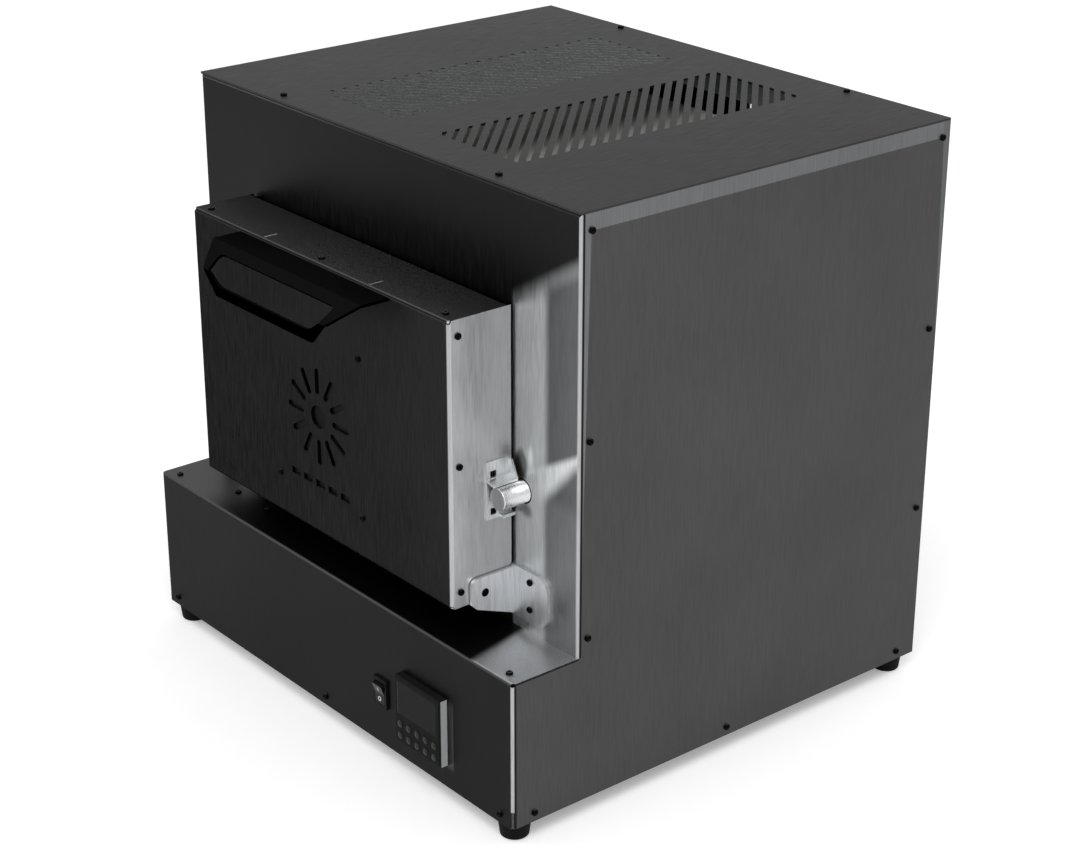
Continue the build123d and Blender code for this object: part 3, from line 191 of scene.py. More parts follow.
def brushed_sheet(name, face, areas=(), shade_spots=(), upright="a8aaab", level="3a3a3b",
                  grain=(1, 1, 16), contrast=0.1, tint=0.62):
    """Stainless sheet, ground along one way: a hairline grain, a soft drift of tone, bends painted lighter or
    darker as painted highlights and shade, patches of painted light and shade, and spots painted black as
    painted shade.
    """
    # The real grain is finer than can be seen; here its lines are 1 mm apart so that they show.
    material, tree, shader, place = blank(name, metallic=1.0)
    shader.inputs["Specular Tint"].default_value = (tint, tint, tint, 1)
    position, normal = place.outputs["Object"], place.outputs["Normal"]
    hair = noise(tree, position, 1.0, 3.0, grain)
    cloud = noise(tree, position, 90.0, 1.0)
    colour = linear(face)
    # Upright and level bends get their own colours, lighter or darker than the face, as painted highlights and
    # shade; the patches are painted light and shade.
    upright_bend, level_bend = bends(tree, normal)
    colour = blend_colours(tree, level_bend, colour, linear(level))
    colour = patches(tree, place, colour, areas)
    colour = blend_colours(tree, upright_bend, colour, linear(upright))
    # Spots painted black are painted shade in gaps and notches.
    colour = patches(tree, place, colour, [("000000", hole) for hole in shade_spots])
    lines = remap(tree, hair, 0.35, 0.65, 1 - contrast, 1 + contrast, soft=False)
    drift = remap(tree, cloud, 0.3, 0.7, 0.95, 1.05, soft=False)
    amount = product(tree, [lines, drift])
    scaled = add(tree, "VectorMath", {0: colour, "Scale": amount}, operation="SCALE")
    tree.links.new(scaled.outputs["Vector"], shader.inputs["Base Color"])
    roughen(tree, shader, hair, 0.34, 0.46)
    raise_surface(tree, shader, hair, 0.01)
    return material


def turned_steel(name, face, end, areas=()):
    """Steel turned on a lathe: fine tool rings, a clean bright side, and faces that look forward given the end
    colour, a painted shade where it is darker than the side.
    """
    material, tree, shader, place = blank(name, metallic=1.0)
    rings = noise(tree, place.outputs["Object"], 0.6, 2.0, (8, 1, 8))
    bright = blend_colours(tree, rings, linear(face), linear("ffffff"))
    side = blend_colours(tree, 0.25, linear(face), bright)
    # Faces that look forward take the end colour, painted darker than the side as painted shade.
    shaded_end = mask(tree, place.outputs["Object"], place.outputs["Normal"], ("looks", FRONT))
    colour = patches(tree, place, blend_colours(tree, shaded_end, side, linear(end)), areas)
    tree.links.new(colour, shader.inputs["Base Color"])
    roughen(tree, shader, rings, 0.22, 0.34)
    raise_surface(tree, shader, rings, 0.005)
    return material


def coated(name, face, rub, spacing=0.8, low=0.42, high=0.55, specular=0.0, areas=()):
    """Powder coat or black oxide: a fine orange peel, and patches where it is rubbed paler."""
    material, tree, shader, place = blank(name, specular=specular)
    peel = noise(tree, place.outputs["Object"], spacing, 3.0)
    cloud = noise(tree, place.outputs["Object"], 25.0, 2.0)
    colour = blend_colours(tree, cloud, linear(face), linear(rub))
    tree.links.new(patches(tree, place, colour, areas), shader.inputs["Base Color"])
    roughen(tree, shader, peel, low, high)
    raise_surface(tree, shader, peel, 0.05)
    return material


def zinc_plate(name, face, dull):
    """Zinc-plated steel: pale crystals a few millimetres wide with a dull bloom."""
    material, tree, shader, place = blank(name, metallic=1.0)
    crystals = add(tree, "TexVoronoi", {"Vector": place.outputs["Object"], "Scale": 1 / (6 * MM)})
    tone = add(tree, "SeparateColor", {0: crystals.outputs["Color"]})
    bloom = noise(tree, place.outputs["Object"], 40.0, 3.0)
    colour = blend_colours(tree, product(tree, [tone.outputs[0], bloom]), linear(face), linear(dull))
    tree.links.new(colour, shader.inputs["Base Color"])
    roughen(tree, shader, tone.outputs[0], 0.35, 0.5)
    raise_surface(tree, shader, bloom, 0.02)
    return material


def aluminium(name, face):
    """Extruded aluminium: a soft grey with drawn lines along its length."""
    material, tree, shader, place = blank(name, metallic=1.0)
    lines = noise(tree, place.outputs["Object"], 0.8, 2.0, (1, 60, 1))
    colour = blend_colours(tree, lines, linear(face), linear("d4d6d8"))
    tree.links.new(colour, shader.inputs["Base Color"])
    roughen(tree, shader, lines, 0.3, 0.45)
    raise_surface(tree, shader, lines, 0.02)
    return material


def fire_brick(name, face, speck, burnt):
    """Insulating fire-brick: chalky and cream, with pores of about a millimetre and browned patches."""
    material, tree, shader, place = blank(name, specular=0.2)
    position = place.outputs["Object"]
    pores = add(tree, "TexVoronoi", {"Vector": position, "Scale": 1 / (2.2 * MM), "Randomness": 1.0})
    pits = remap(tree, pores.outputs["Distance"], 0.12, 0.34)
    dust = noise(tree, position, 4.0, 4.0, roughness=0.65)
    patch = remap(tree, noise(tree, position, 60.0, 3.0), 0.45, 0.75)
    base = blend_colours(tree, patch, linear(face), linear(burnt))
    grit = blend_colours(tree, remap(tree, dust, 0.35, 0.7), base, linear(face))
    colour = blend_colours(tree, pits, linear(speck), grit)
    tree.links.new(colour, shader.inputs["Base Color"])
    shader.inputs["Roughness"].default_value = 0.95
    height = add(tree, "Math", {0: pits, 1: dust}, operation="ADD")
    raise_surface(tree, shader, height.outputs[0], 0.5)
    return material


def ceramic_fibre(name, face, shade, spacing, depth, areas=()):
    """Ceramic fibre blanket or board: white felted fibre with soft lumps and strands."""
    material, tree, shader, place = blank(name, specular=0.15, Sheen_Weight=0.25, Sheen_Roughness=0.6)
    position = place.outputs["Object"]
    strands = noise(tree, position, spacing, 5.0, (1, 4, 1), 0.7)
    lumps = noise(tree, position, 12.0, 2.0)
    colour = blend_colours(tree, strands, linear(shade), linear(face))
    tree.links.new(patches(tree, place, colour, areas), shader.inputs["Base Color"])
    shader.inputs["Roughness"].default_value = 1.0
    height = add(tree, "Math", {0: strands, 1: lumps}, operation="ADD")
    raise_surface(tree, shader, height.outputs[0], depth)
    return material


def kiln_shelf(name, face, speck):
    """Cordierite kiln shelf: sandy, hard and speckled with iron."""
    material, tree, shader, place = blank(name, specular=0.3)
    position = place.outputs["Object"]
    grains = add(tree, "TexVoronoi", {"Vector": position, "Scale": 1 / (1.6 * MM)})
    dots = remap(tree, grains.outputs["Distance"], 0.18, 0.3)
    sand = noise(tree, position, 3.0, 4.0)
    base = blend_colours(tree, sand, linear(face), linear("cbb394"))
    tree.links.new(blend_colours(tree, dots, linear(speck), base), shader.inputs["Base Color"])
    roughen(tree, shader, sand, 0.75, 0.95)
    raise_surface(tree, shader, sand, 0.2)
    return material


def oxidised_alloy(name, face, bloom):
    """Iron-chrome-aluminium wire after firing: a matt grey oxide with paler bloom."""
    material, tree, shader, place = blank(name, metallic=0.35, specular=0.3)
    scale = noise(tree, place.outputs["Object"], 3.0, 3.0)
    tree.links.new(blend_colours(tree, remap(tree, scale, 0.4, 0.7), linear(face), linear(bloom)),
                   shader.inputs["Base Color"])
    roughen(tree, shader, scale, 0.55, 0.75)
    raise_surface(tree, shader, scale, 0.03)
    return material


def moulded(name, face, spacing=0.5, low=0.38, high=0.5, specular=0.4, areas=()):
    """Moulded plastic: a fine spark-eroded texture of even colour."""
    material, tree, shader, place = blank(name, specular=specular)
    grit = noise(tree, place.outputs["Object"], spacing, 2.0)
    cloud = noise(tree, place.outputs["Object"], 14.0, 1.0)
    darker = tuple(v * 0.86 for v in linear(face)[:3]) + (1.0,)
    colour = blend_colours(tree, cloud, linear(face), darker)
    tree.links.new(patches(tree, place, colour, areas), shader.inputs["Base Color"])
    roughen(tree, shader, grit, low, high)
    raise_surface(tree, shader, grit, 0.015)
    return material


def glazed_porcelain(name, face):
    """Glazed porcelain: smooth and milky under a clear glaze."""
    material, tree, shader, place = blank(name, specular=0.5, Coat_Weight=0.4, Coat_Roughness=0.08)
    body = noise(tree, place.outputs["Object"], 5.0, 2.0)
    tree.links.new(blend_colours(tree, body, linear(face), linear("e9e5da")), shader.inputs["Base Color"])
    roughen(tree, shader, body, 0.15, 0.25)
    raise_surface(tree, shader, body, 0.01)
    return material


def smoked_acrylic(name, face):
    """Smoked acrylic: nearly black and glossy, with a faint wipe haze."""
    material, tree, shader, place = blank(name, specular=0.05)
    haze = noise(tree, place.outputs["Object"], 6.0, 2.0, (1, 1, 5))
    tree.links.new(blend_colours(tree, haze, linear(face), linear("1a191a")), shader.inputs["Base Color"])
    roughen(tree, shader, haze, 0.12, 0.2)
    raise_surface(tree, shader, haze, 0.004)
    return material


def seen_rays(tree, unseen, seen):
    """One value for rays that the camera, a mirror or glass sends out, and another for all others."""
    path = add(tree, "LightPath")
    kind = path.outputs["Is Camera Ray"]
    for other in ("Is Glossy Ray", "Is Transmission Ray"):
        kind = add(tree, "Math", {0: kind, 1: path.outputs[other]}, operation="MAXIMUM").outputs[0]
    return remap(tree, kind, 0.0, 1.0, unseen, seen, soft=False)


def studio_floor(name, face):
    """Painted studio floor: pale and matt, and lifted to white where it is seen, so that its shadow stays."""
    material, tree, shader, place = blank(name, specular=0.1)
    shader.inputs["Emission Color"].default_value = (1, 1, 1, 1)
    tree.links.new(seen_rays(tree, 0.0, 0.26), shader.inputs["Emission Strength"])
    roller = noise(tree, place.outputs["Object"], 20.0, 2.0)
    tree.links.new(blend_colours(tree, roller, linear(face), linear("fbfbfb")), shader.inputs["Base Color"])
    shader.inputs["Roughness"].default_value = 0.9
    return material


# ---- shapes ----

def mesh_object(name, points, faces, smooth=True):
    """A mesh object at the origin whose points, in millimetres, are already in place."""
    mesh = bpy.data.meshes.new(name)
    mesh.from_pydata((np.asarray(points, float) * MM).tolist(), [], [list(f) for f in faces])
    mesh.validate()
    mesh.update()
    mesh.polygons.foreach_set("use_smooth", np.full(len(mesh.polygons), smooth))
    piece = bpy.data.objects.new(name, mesh)
    bpy.context.scene.collection.objects.link(piece)
    return piece


def grid_faces(rows, columns, wrap_rows=False, wrap_columns=False):
    """The four corners of every cell in a grid of points counted row by row."""
    r = np.arange(rows if wrap_rows else rows - 1)
    c = np.arange(columns if wrap_columns else columns - 1)
    r, c = (a.ravel() for a in np.meshgrid(r, c, indexing="ij"))
    r2, c2 = (r + 1) % rows, (c + 1) % columns
    return np.stack([r * columns + c, r * columns + c2, r2 * columns + c2, r2 * columns + c], 1)


def fold_poles(faces, points):
    """Joins points that coincide, so that a pole is one point, and drops the sides that vanish."""
    _, first, same = np.unique(np.round(points, 5), axis=0, return_index=True, return_inverse=True)
    faces = same.reshape(-1)[faces]
    folded = [list(dict.fromkeys(face)) for face in faces.tolist()]
    return points[first], [face for face in folded if len(face) > 2]


def lathe(profile, centre, axis, steps=48):
    """Points and faces of a profile of radius and height pairs turned about an axis: each radius is
    carried round the circle, as radius times cosine and sine of the angle, and each height along the axis."""
    profile = np.asarray(profile, float)
    angle = np.arange(steps) * 2 * np.pi / steps
    along = np.asarray(axis, float)
    side = np.cross(along, (0.0, 0.0, 1.0) if abs(along[2]) < 0.9 else (1.0, 0.0, 0.0))
    side /= np.linalg.norm(side)
    other = np.cross(along, side)
    ring = np.cos(angle)[:, None] * side + np.sin(angle)[:, None] * other
    points = np.asarray(centre) + profile[:, None, :1] * ring[None] + profile[:, 1, None, None] * along
    return fold_poles(grid_faces(len(profile), steps, wrap_columns=True), points.reshape(-1, 3))


def tube(path, tangent, up, radius, sides):
    """Points and faces of a round section carried along a path: at each point the section is the
    radius times cosine of the angle across the path plus its sine along the path's own normal."""
    across = np.cross(tangent, up)
    across /= np.linalg.norm(across, axis=1)[:, None]
    normal = np.cross(across, tangent)
    angle = np.arange(sides) * 2 * np.pi / sides
    ring = np.cos(angle)[None, :, None] * across[:, None] + np.sin(angle)[None, :, None] * normal[:, None]
    points = path[:, None] + np.broadcast_to(radius, len(path))[:, None, None] * ring
    count = len(path)
    faces = grid_faces(count, sides, wrap_columns=True).tolist()
    faces = [face[::-1] for face in faces]
    last = (count - 1) * sides
    faces += [list(range(sides)), list(range(last + sides - 1, last - 1, -1))]
    return points.reshape(-1, 3), faces


def rounded(corners, radius):
    """A line of points through the corners, each inner corner replaced by an arc: between the two
    points where the arc starts and ends, it follows a quadratic curve drawn towards the corner."""
    corners = np.asarray(corners, float)
    parts = [corners[:1]]
    share = np.linspace(0, 1, BEND_STEPS)[:, None]
    for before, corner, after in zip(corners, corners[1:], corners[2:]):
        to_before = (before - corner) / np.linalg.norm(before - corner)
        to_after = (after - corner) / np.linalg.norm(after - corner)
        turn = np.arccos(np.clip(-to_before @ to_after, -1, 1))
        reach = radius * np.tan(turn / 2)
        start, end = corner + to_before * reach, corner + to_after * reach
        parts.append((1 - share) ** 2 * start + 2 * share * (1 - share) * corner + share ** 2 * end)
    parts.append(corners[-1:])
    return np.concatenate(parts)


def outward(piece):
    """Turns every face of a closed piece outwards."""
    work = bmesh.new()
    work.from_mesh(piece.data)
    bmesh.ops.remove_doubles(work, verts=work.verts, dist=1e-6)
    bmesh.ops.recalc_face_normals(work, faces=work.faces)
    work.to_mesh(piece.data)
    work.free()
    return piece


def several(parts):
    """Joins point and face lists into one."""
    points, faces, start = [], [], 0
    for new_points, new_faces in parts:
        points.append(np.asarray(new_points, float))
        faces += [[int(i) + start for i in face] for face in new_faces]
        start += len(new_points)
    return np.concatenate(points), faces


def dress(piece, material, body, slot, *replaced):
    """Gives a finished piece its material and its body, and hides the nodes it stands for; the slot is not
    used.
    """
    piece.data.materials.append(material)
    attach(piece, body)
    if replaced:
        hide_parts(*replaced)
    return piece


def finish_nodes(names, material):
    """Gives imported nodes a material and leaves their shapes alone."""
    for name in names:
        node = nodes[name]
        if not node.material_slots:
            node.data.materials.append(material)
        for place in node.material_slots:
            place.material = material


def soften(piece, width):
    """Rounds the piece's edges."""
    bevel = piece.modifiers.new("edge", "BEVEL")
    bevel.width = width * MM
    bevel.segments = 2
    bevel.limit_method = "ANGLE"
    bevel.angle_limit = math.radians(35)
    bevel.harden_normals = False


# ---- settings ----

class ForgeFinishes(bpy.types.PropertyGroup):
    """Colours of the main finishes, as sRGB hex"""
    # Front, side and top are one brushed stainless in shaded copies, each as dark as those faces fell under the
    # light: painted shade.
    front: bpy.props.StringProperty(name="Front", description="Brushed front sheets", default="262626")
    side: bpy.props.StringProperty(name="Side", description="Brushed side sheets", default="4b4b4b")
    top: bpy.props.StringProperty(name="Top", description="Brushed top sheet", default="3c3c3c")
    bright: bpy.props.StringProperty(name="Bright", description="Bright brushed steel", default="b4b6b8")
    # The coat colour is laid only on the handle's upward faces, lighter than its black, as painted light.
    coat: bpy.props.StringProperty(name="Coat", description="Black powder coat", default="0b0b0c")
    brick: bpy.props.StringProperty(name="Brick", description="Insulating fire-brick", default="e4d9c2")
    floor: bpy.props.StringProperty(name="Floor", description="Studio floor", default="f6f6f6")


class ForgeSizes(bpy.types.PropertyGroup):
    """Sizes of the finer pieces"""
    handle_edge: bpy.props.FloatProperty(
        name="Handle edge", description="Rounding of the handle's edges", default=0.0004, min=0.00005,
        precision=5, unit="LENGTH")
    foot_round: bpy.props.FloatProperty(
        name="Foot rounding", description="Rounding of a foot's lower edge", default=0.0016, min=0.0001,
        precision=5, unit="LENGTH")
    coil_pitch: bpy.props.FloatProperty(
        name="Coil pitch", description="Distance between turns of an element", default=0.0026, min=0.0015,
        precision=5, unit="LENGTH")
    wire: bpy.props.FloatProperty(
        name="Wire radius", description="Radius of an element's wire", default=0.0006, min=0.0002,
        precision=5, unit="LENGTH")
    key_dome: bpy.props.FloatProperty(
        name="Key dome", description="Height of a key's dome", default=0.00035, min=0.00005,
        precision=5, unit="LENGTH")


def box_mm(name):
    """A node's lowest and highest corners in millimetres."""
    low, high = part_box(name)
    return np.array(low) / MM, np.array(high) / MM


# ---- pieces ----

HANDLE_SHEET = 2.0
HANDLE_BAND = 7.2
HANDLE_REACH = 21.0
HANDLE_SLOPE_DOWN = 12.9
HANDLE_TAB = 16.0
HANDLE_HALVES = (82.0, 67.9, 53.5)
HANDLE_WINDOW = (64.0, 62.2, 50.5)
HANDLE_WINDOW_DROP = 4.6
HANDLE_TAB_HALF = 33.0
HANDLE_BEND = 2.2
HANDLE_CORNER = 4.0
HANDLE_SLOPE_WAY = (0, -0.593, 0.805)


class FORGE_OT_handle(bpy.types.Operator):
    """The bent handle of the door, with its finger window"""
    bl_idname = "forge.handle"
    bl_label = "Handle"

    def execute(self, context):
        # The outer face is a bent line in depth and height; each of its points is spread to both sides by
        # a share of the half width there, and an inner line follows the window's edge.
        low, high = box_mm("door_handle")
        top, front, back, foot = high[2], low[1], high[1], low[2]
        door_face = back - HANDLE_TAB
        first_bend = door_face - HANDLE_REACH
        knee = top - HANDLE_SLOPE_DOWN
        line = rounded([(back, top), (first_bend, top), (front, knee), (front, foot)], HANDLE_BEND)
        window_top, window_foot = top - HANDLE_WINDOW_DROP, foot + HANDLE_BAND
        measure = np.concatenate([[0], np.cumsum(np.linalg.norm(np.diff(line, axis=0), axis=1))])
        top_station, foot_station = (
            np.interp(-height, -line[3:, 1], measure[3:]) for height in (window_top, window_foot))
        steps = HANDLE_CORNER * np.array([0.0, 0.05, 0.15, 0.3, 0.55, 1.0])
        at_door = np.interp(-door_face, -line[:3, 0], measure[:3])
        stations = np.unique(np.round(np.concatenate([
            measure, top_station + steps, foot_station - steps, [at_door]]), 6))
        y = np.interp(stations, measure, line[:, 0])
        z = np.interp(stations, measure, line[:, 1])
        half = np.interp(-z, (-top, -knee, -foot), HANDLE_HALVES)
        window = np.interp(-z, (-window_top, -knee, -window_foot), HANDLE_WINDOW)
        into = np.clip(np.minimum(stations - top_station, foot_station - stations), 0, HANDLE_CORNER)
        window -= HANDLE_CORNER - np.sqrt(HANDLE_CORNER ** 2 - (HANDLE_CORNER - into) ** 2)
        slope_share = np.clip((door_face - y) / HANDLE_REACH, 0, 1)
        at_tab = HANDLE_TAB_HALF + (window[0] - HANDLE_TAB_HALF) * slope_share
        inner = np.where(stations < top_station, at_tab, window)
        inner_share = np.linspace(-1, 1, 13)
        outer_share = np.array([1 / 3, 2 / 3, 1.0])
        x = np.concatenate([
            -(inner[:, None] + (half - inner)[:, None] * outer_share[::-1]), inner[:, None] * inner_share,
            inner[:, None] + (half - inner)[:, None] * outer_share], axis=1)
        points = np.stack([x, np.broadcast_to(y[:, None], x.shape), np.broadcast_to(z[:, None], x.shape)], -1)
        faces = grid_faces(*x.shape)
        row, column = faces[:, 0] // x.shape[1], faces[:, 0] % x.shape[1]
        middle = (column >= 3) & (column < x.shape[1] - 4)
        in_window = (stations[row] > top_station - 1e-3) & (stations[row + 1] < foot_station + 1e-3)
        in_tab = y[row] > door_face + 1e-3
        keep = ~(middle & in_window) & ~(~middle & in_tab)
        piece = mesh_object("bent_handle", points.reshape(-1, 3), faces[keep][:, ::-1].tolist())
        wall = piece.modifiers.new("sheet", "SOLIDIFY")
        wall.thickness = HANDLE_SHEET * MM
        wall.offset = -1.0
        wall.use_even_offset = True
        soften(piece, context.scene.forge_sizes.handle_edge / MM)
        finishes = context.scene.forge_finishes
        # The black handle's upward faces take the coat colour and its sloping faces a lighter black: painted
        # light on a black base.
        shades = [(finishes.coat, ("looks", UP)), ("111112", ("looks", HANDLE_SLOPE_WAY))]
        dress(piece, coated("powder_coat_black", "000000", "010101", areas=shades),
              "door", "black_coating", "door_handle")
        return {"FINISHED"}


FOOT_R, FOOT_TIP_R, FOOT_BORE_R, FOOT_HOLE_R = 11.0, 9.5, 4.5, 1.7
FOOT_WEB = 3.5


class FORGE_OT_feet(bpy.types.Operator):
    """The four moulded rubber feet"""
    bl_idname = "forge.feet"
    bl_label = "Feet"

    def execute(self, context):
        low, high = box_mm("feet")
        tall = high[2] - low[2]
        edge = context.scene.forge_sizes.foot_round / MM
        turn = np.linspace(0, np.pi / 2, 6)
        lower = np.stack([FOOT_TIP_R - edge + edge * np.sin(turn), edge - edge * np.cos(turn)], 1)
        # From the screw's hole down the bore, round the tip's edge and up the tapering side.
        bored = [(FOOT_HOLE_R, tall), (FOOT_HOLE_R, tall - FOOT_WEB), (FOOT_BORE_R, tall - FOOT_WEB),
                 (FOOT_BORE_R, 0.4), (FOOT_BORE_R + 0.4, 0)]
        side = [(FOOT_TIP_R + 0.35, tall * 0.35), (FOOT_R - 0.35, tall * 0.8), (FOOT_R, tall * 0.9),
                (FOOT_R - 0.3, tall), (FOOT_HOLE_R, tall)]
        profile = np.concatenate([bored, lower, side])
        parts = [
            lathe(profile, (x, y, low[2]), UP)
            for x in (low[0] + FOOT_R, high[0] - FOOT_R) for y in (low[1] + FOOT_R, high[1] - FOOT_R)]
        piece = outward(mesh_object("rubber_feet", *several(parts)))
        dress(piece, moulded("moulded_rubber", "141415", 0.6, 0.6, 0.8, 0.06), "case", "black_rubber", "feet")
        return {"FINISHED"}


KEY_RIM_WAY = (0, -0.5, -0.87)


class FORGE_OT_keys(bpy.types.Operator):
    """The ten domed keys of the controller"""
    bl_idname = "forge.keys"
    bl_label = "Keys"

    def execute(self, context):
        dome = context.scene.forge_sizes.key_dome / MM
        # The keys' rims that look down and forward are painted lighter, as painted highlights.
        rim = [("4a4b4c", ("looks", KEY_RIM_WAY))]
        material = moulded("moulded_grey_keys", "1d1e1f", 0.3, 0.3, 0.42, 0.2, areas=rim)
        for number in range(1, 11):
            name = f"key_{number}"
            low, high = box_mm(name)
            radius, length = (high[0] - low[0]) / 2, high[1] - low[1]
            share = np.linspace(0, 1, 7)
            # The face rises by the dome's height towards its middle as one less the square of the radius.
            face = np.stack([radius * 0.72 * share, length - dome * share ** 2], 1)
            edge = length - dome
            groove = [(radius * 0.76, edge - 0.12), (radius * 0.84, edge - 0.12)]
            lip = [(radius * 0.88, edge + 0.05), (radius * 0.96, edge + 0.02), (radius, edge - 0.15)]
            profile = np.concatenate([face, groove, lip, [(radius, 0), (0, 0)]])
            centre = ((low[0] + high[0]) / 2, high[1], (low[2] + high[2]) / 2)
            piece = outward(mesh_object(f"domed_{name}", *lathe(profile, centre, FRONT, 32)))
            dress(piece, material, name, "key_plastic", name)
        return {"FINISHED"}


ROCKER_PIVOT = (66.0, -165.3, 52.0)
ROCKER_TILT = 10.0
ROCKER_RISE, ROCKER_DIP, ROCKER_HALF = 4.6, 3.4, 7.6
MARK_FOOT, MARK_FACE = -0.2, 0.16
BAR_HALF_WIDTH, BAR_HALF_LENGTH = 0.28, 1.5
RING_OUTER, RING_INNER, RING_STEPS = 1.65, 1.1, 40


class FORGE_OT_switch_marks(bpy.types.Operator):
    """The on and off marks moulded into the rocker"""
    bl_idname = "forge.switch_marks"
    bl_label = "Switch marks"

    def execute(self, context):
        tilt = math.radians(ROCKER_TILT)
        turn = np.array([[1, 0, 0], [0, math.cos(tilt), -math.sin(tilt)], [0, math.sin(tilt), math.cos(tilt)]])

        def on_face(side, across, up, proud):
            """A point of the rocker's upper or lower face, counted from that face's middle."""
            middle = np.array([0.0, -(ROCKER_RISE + ROCKER_DIP) / 2, side * ROCKER_HALF / 2])
            fall = ROCKER_RISE - ROCKER_DIP
            slope = np.array([0.0, -fall * side, ROCKER_HALF]) / math.hypot(fall, ROCKER_HALF)
            out = np.array([0.0, -slope[2], slope[1]])
            return ROCKER_PIVOT + turn @ (middle + across * np.array(RIGHT) + up * slope + proud * out)

        bar = [
            on_face(1, across * BAR_HALF_WIDTH, up * BAR_HALF_LENGTH, proud)
            for proud in (MARK_FOOT, MARK_FACE) for across, up in ((-1, -1), (1, -1), (1, 1), (-1, 1))]
        bar_faces = [(0, 1, 2, 3), (4, 7, 6, 5), (0, 4, 5, 1), (1, 5, 6, 2), (2, 6, 7, 3), (3, 7, 4, 0)]
        angle = np.arange(RING_STEPS) * 2 * np.pi / RING_STEPS
        ring = [
            on_face(-1, radius * math.cos(a), radius * math.sin(a), proud)
            for radius, proud in ((RING_OUTER, MARK_FOOT), (RING_OUTER, MARK_FACE),
                                  (RING_INNER, MARK_FACE), (RING_INNER, MARK_FOOT))
            for a in angle]
        ring_faces = grid_faces(4, RING_STEPS, wrap_rows=True, wrap_columns=True)
        piece = outward(mesh_object(
            "switch_marks", *several([(bar, bar_faces), (ring, ring_faces.tolist())]), smooth=False))
        dress(piece, moulded("moulded_white_marks", "e6e6e4", 0.4), "rocker", "ivory_plastic")
        return {"FINISHED"}


ELEMENT_BEND, ELEMENT_BACK = 12.0, 76.2
ELEMENT_COLD, ELEMENT_FADE = 84.0, 10.0
TURN_STEPS, WIRE_SIDES = 12, 5


class FORGE_OT_elements(bpy.types.Operator):
    """The two wound heating elements, which lie in the grooves of the side bricks"""
    bl_idname = "forge.elements"
    bl_label = "Elements"

    def execute(self, context):
        wire_r = context.scene.forge_sizes.wire / MM
        pitch_mm = context.scene.forge_sizes.coil_pitch / MM
        material = oxidised_alloy("fired_element_alloy", "4a4542", "7b746d")
        for side in ("left", "right"):
            low, high = box_mm(f"heating_element_{side}")
            radius = (high[0] - low[0]) / 2
            x = (low[0] + high[0]) / 2
            pitch, bend, back = (high[2] - low[2] - 2 * radius) / 3, ELEMENT_BEND, ELEMENT_BACK
            front = low[1] + radius + bend
            rows = [high[2] - radius - pitch * k for k in range(4)]
            arc = np.linspace(0, np.pi, 25)[1:-1]
            corners = [
                np.array([(high[1], rows[0]), (front, rows[0])]),
                np.stack([front - bend * np.sin(arc), rows[0] - bend + bend * np.cos(arc)], 1),
                np.array([(front, rows[1]), (back, rows[1])]),
                np.stack([back + bend * np.sin(arc), rows[1] - bend + bend * np.cos(arc)], 1),
                np.array([(back, rows[2]), (front, rows[2])]),
                np.stack([front - bend * np.sin(arc), rows[2] - bend + bend * np.cos(arc)], 1),
                np.array([(front, rows[3]), (high[1], rows[3])])]
            line = np.concatenate(corners)
            measure = np.concatenate([[0], np.cumsum(np.linalg.norm(np.diff(line, axis=0), axis=1))])
            length = measure[-1]
            # A helix about the line: the wire stands off by a radius that grows from nought past the cold
            # ends, and its angle is a full turn for each pitch travelled.
            s = np.linspace(0, length, int(length / pitch_mm * TURN_STEPS))
            y, z = np.interp(s, measure, line[:, 0]), np.interp(s, measure, line[:, 1])
            centre = np.stack([np.full_like(s, x), y, z], 1)
            direction = np.gradient(centre, axis=0)
            direction /= np.linalg.norm(direction, axis=1)[:, None]
            out = np.array(RIGHT, float)
            lift = np.cross(direction, out)
            cold = np.clip((np.minimum(s, length - s) - ELEMENT_COLD) / ELEMENT_FADE, 0, 1)
            cold = cold * cold * (3 - 2 * cold)
            stand = (radius - wire_r) * cold
            angle = 2 * np.pi * s / pitch_mm
            wire = centre + stand[:, None] * (np.cos(angle)[:, None] * out + np.sin(angle)[:, None] * lift)
            tangent = np.gradient(wire, axis=0)
            tangent /= np.linalg.norm(tangent, axis=1)[:, None]
            thick = wire_r + (1 - cold) * (radius * 0.8 - wire_r)
            up = centre - wire + 1e-3 * lift + 1e-3 * out
            piece = outward(mesh_object(f"coiled_element_{side}", *tube(wire, tangent, up, thick, WIRE_SIDES)))
            dress(piece, material, "case", "element_alloy", f"heating_element_{side}")
        return {"FINISHED"}


STUD_R, STUD_NUT = 7.4, 5.0


class FORGE_OT_stud(bpy.types.Operator):
    """The turned stud that the door's spring clip catches"""
    bl_idname = "forge.stud"
    bl_label = "Catch stud"

    def execute(self, context):
        low, high = box_mm("catch_stud")
        flange = (high[2] - low[2]) / 2
        centre = ((low[0] + high[0]) / 2, high[1], (low[2] + high[2]) / 2)
        length = high[1] - low[1]
        profile = [
            (0, length), (STUD_R - 0.8, length), (STUD_R - 0.3, length - 0.1), (STUD_R - 0.1, length - 0.3),
            (STUD_R, length - 0.8), (STUD_R, STUD_NUT), (flange - 0.6, STUD_NUT), (flange, STUD_NUT - 0.6),
            (flange, 0.6), (flange - 0.6, 0), (0, 0)]
        piece = outward(mesh_object("turned_stud", *lathe(profile, centre, FRONT, 64)))
        # The stud is in shadow where it goes through the panel.
        shaded = [("000000", ("past", BACK, -115.6, -115.2))]
        dress(piece, turned_steel("turned_steel", "c4c5c6", "9a9c9d", areas=shaded),
              "case", "turned_steel", "catch_stud")
        return {"FINISHED"}


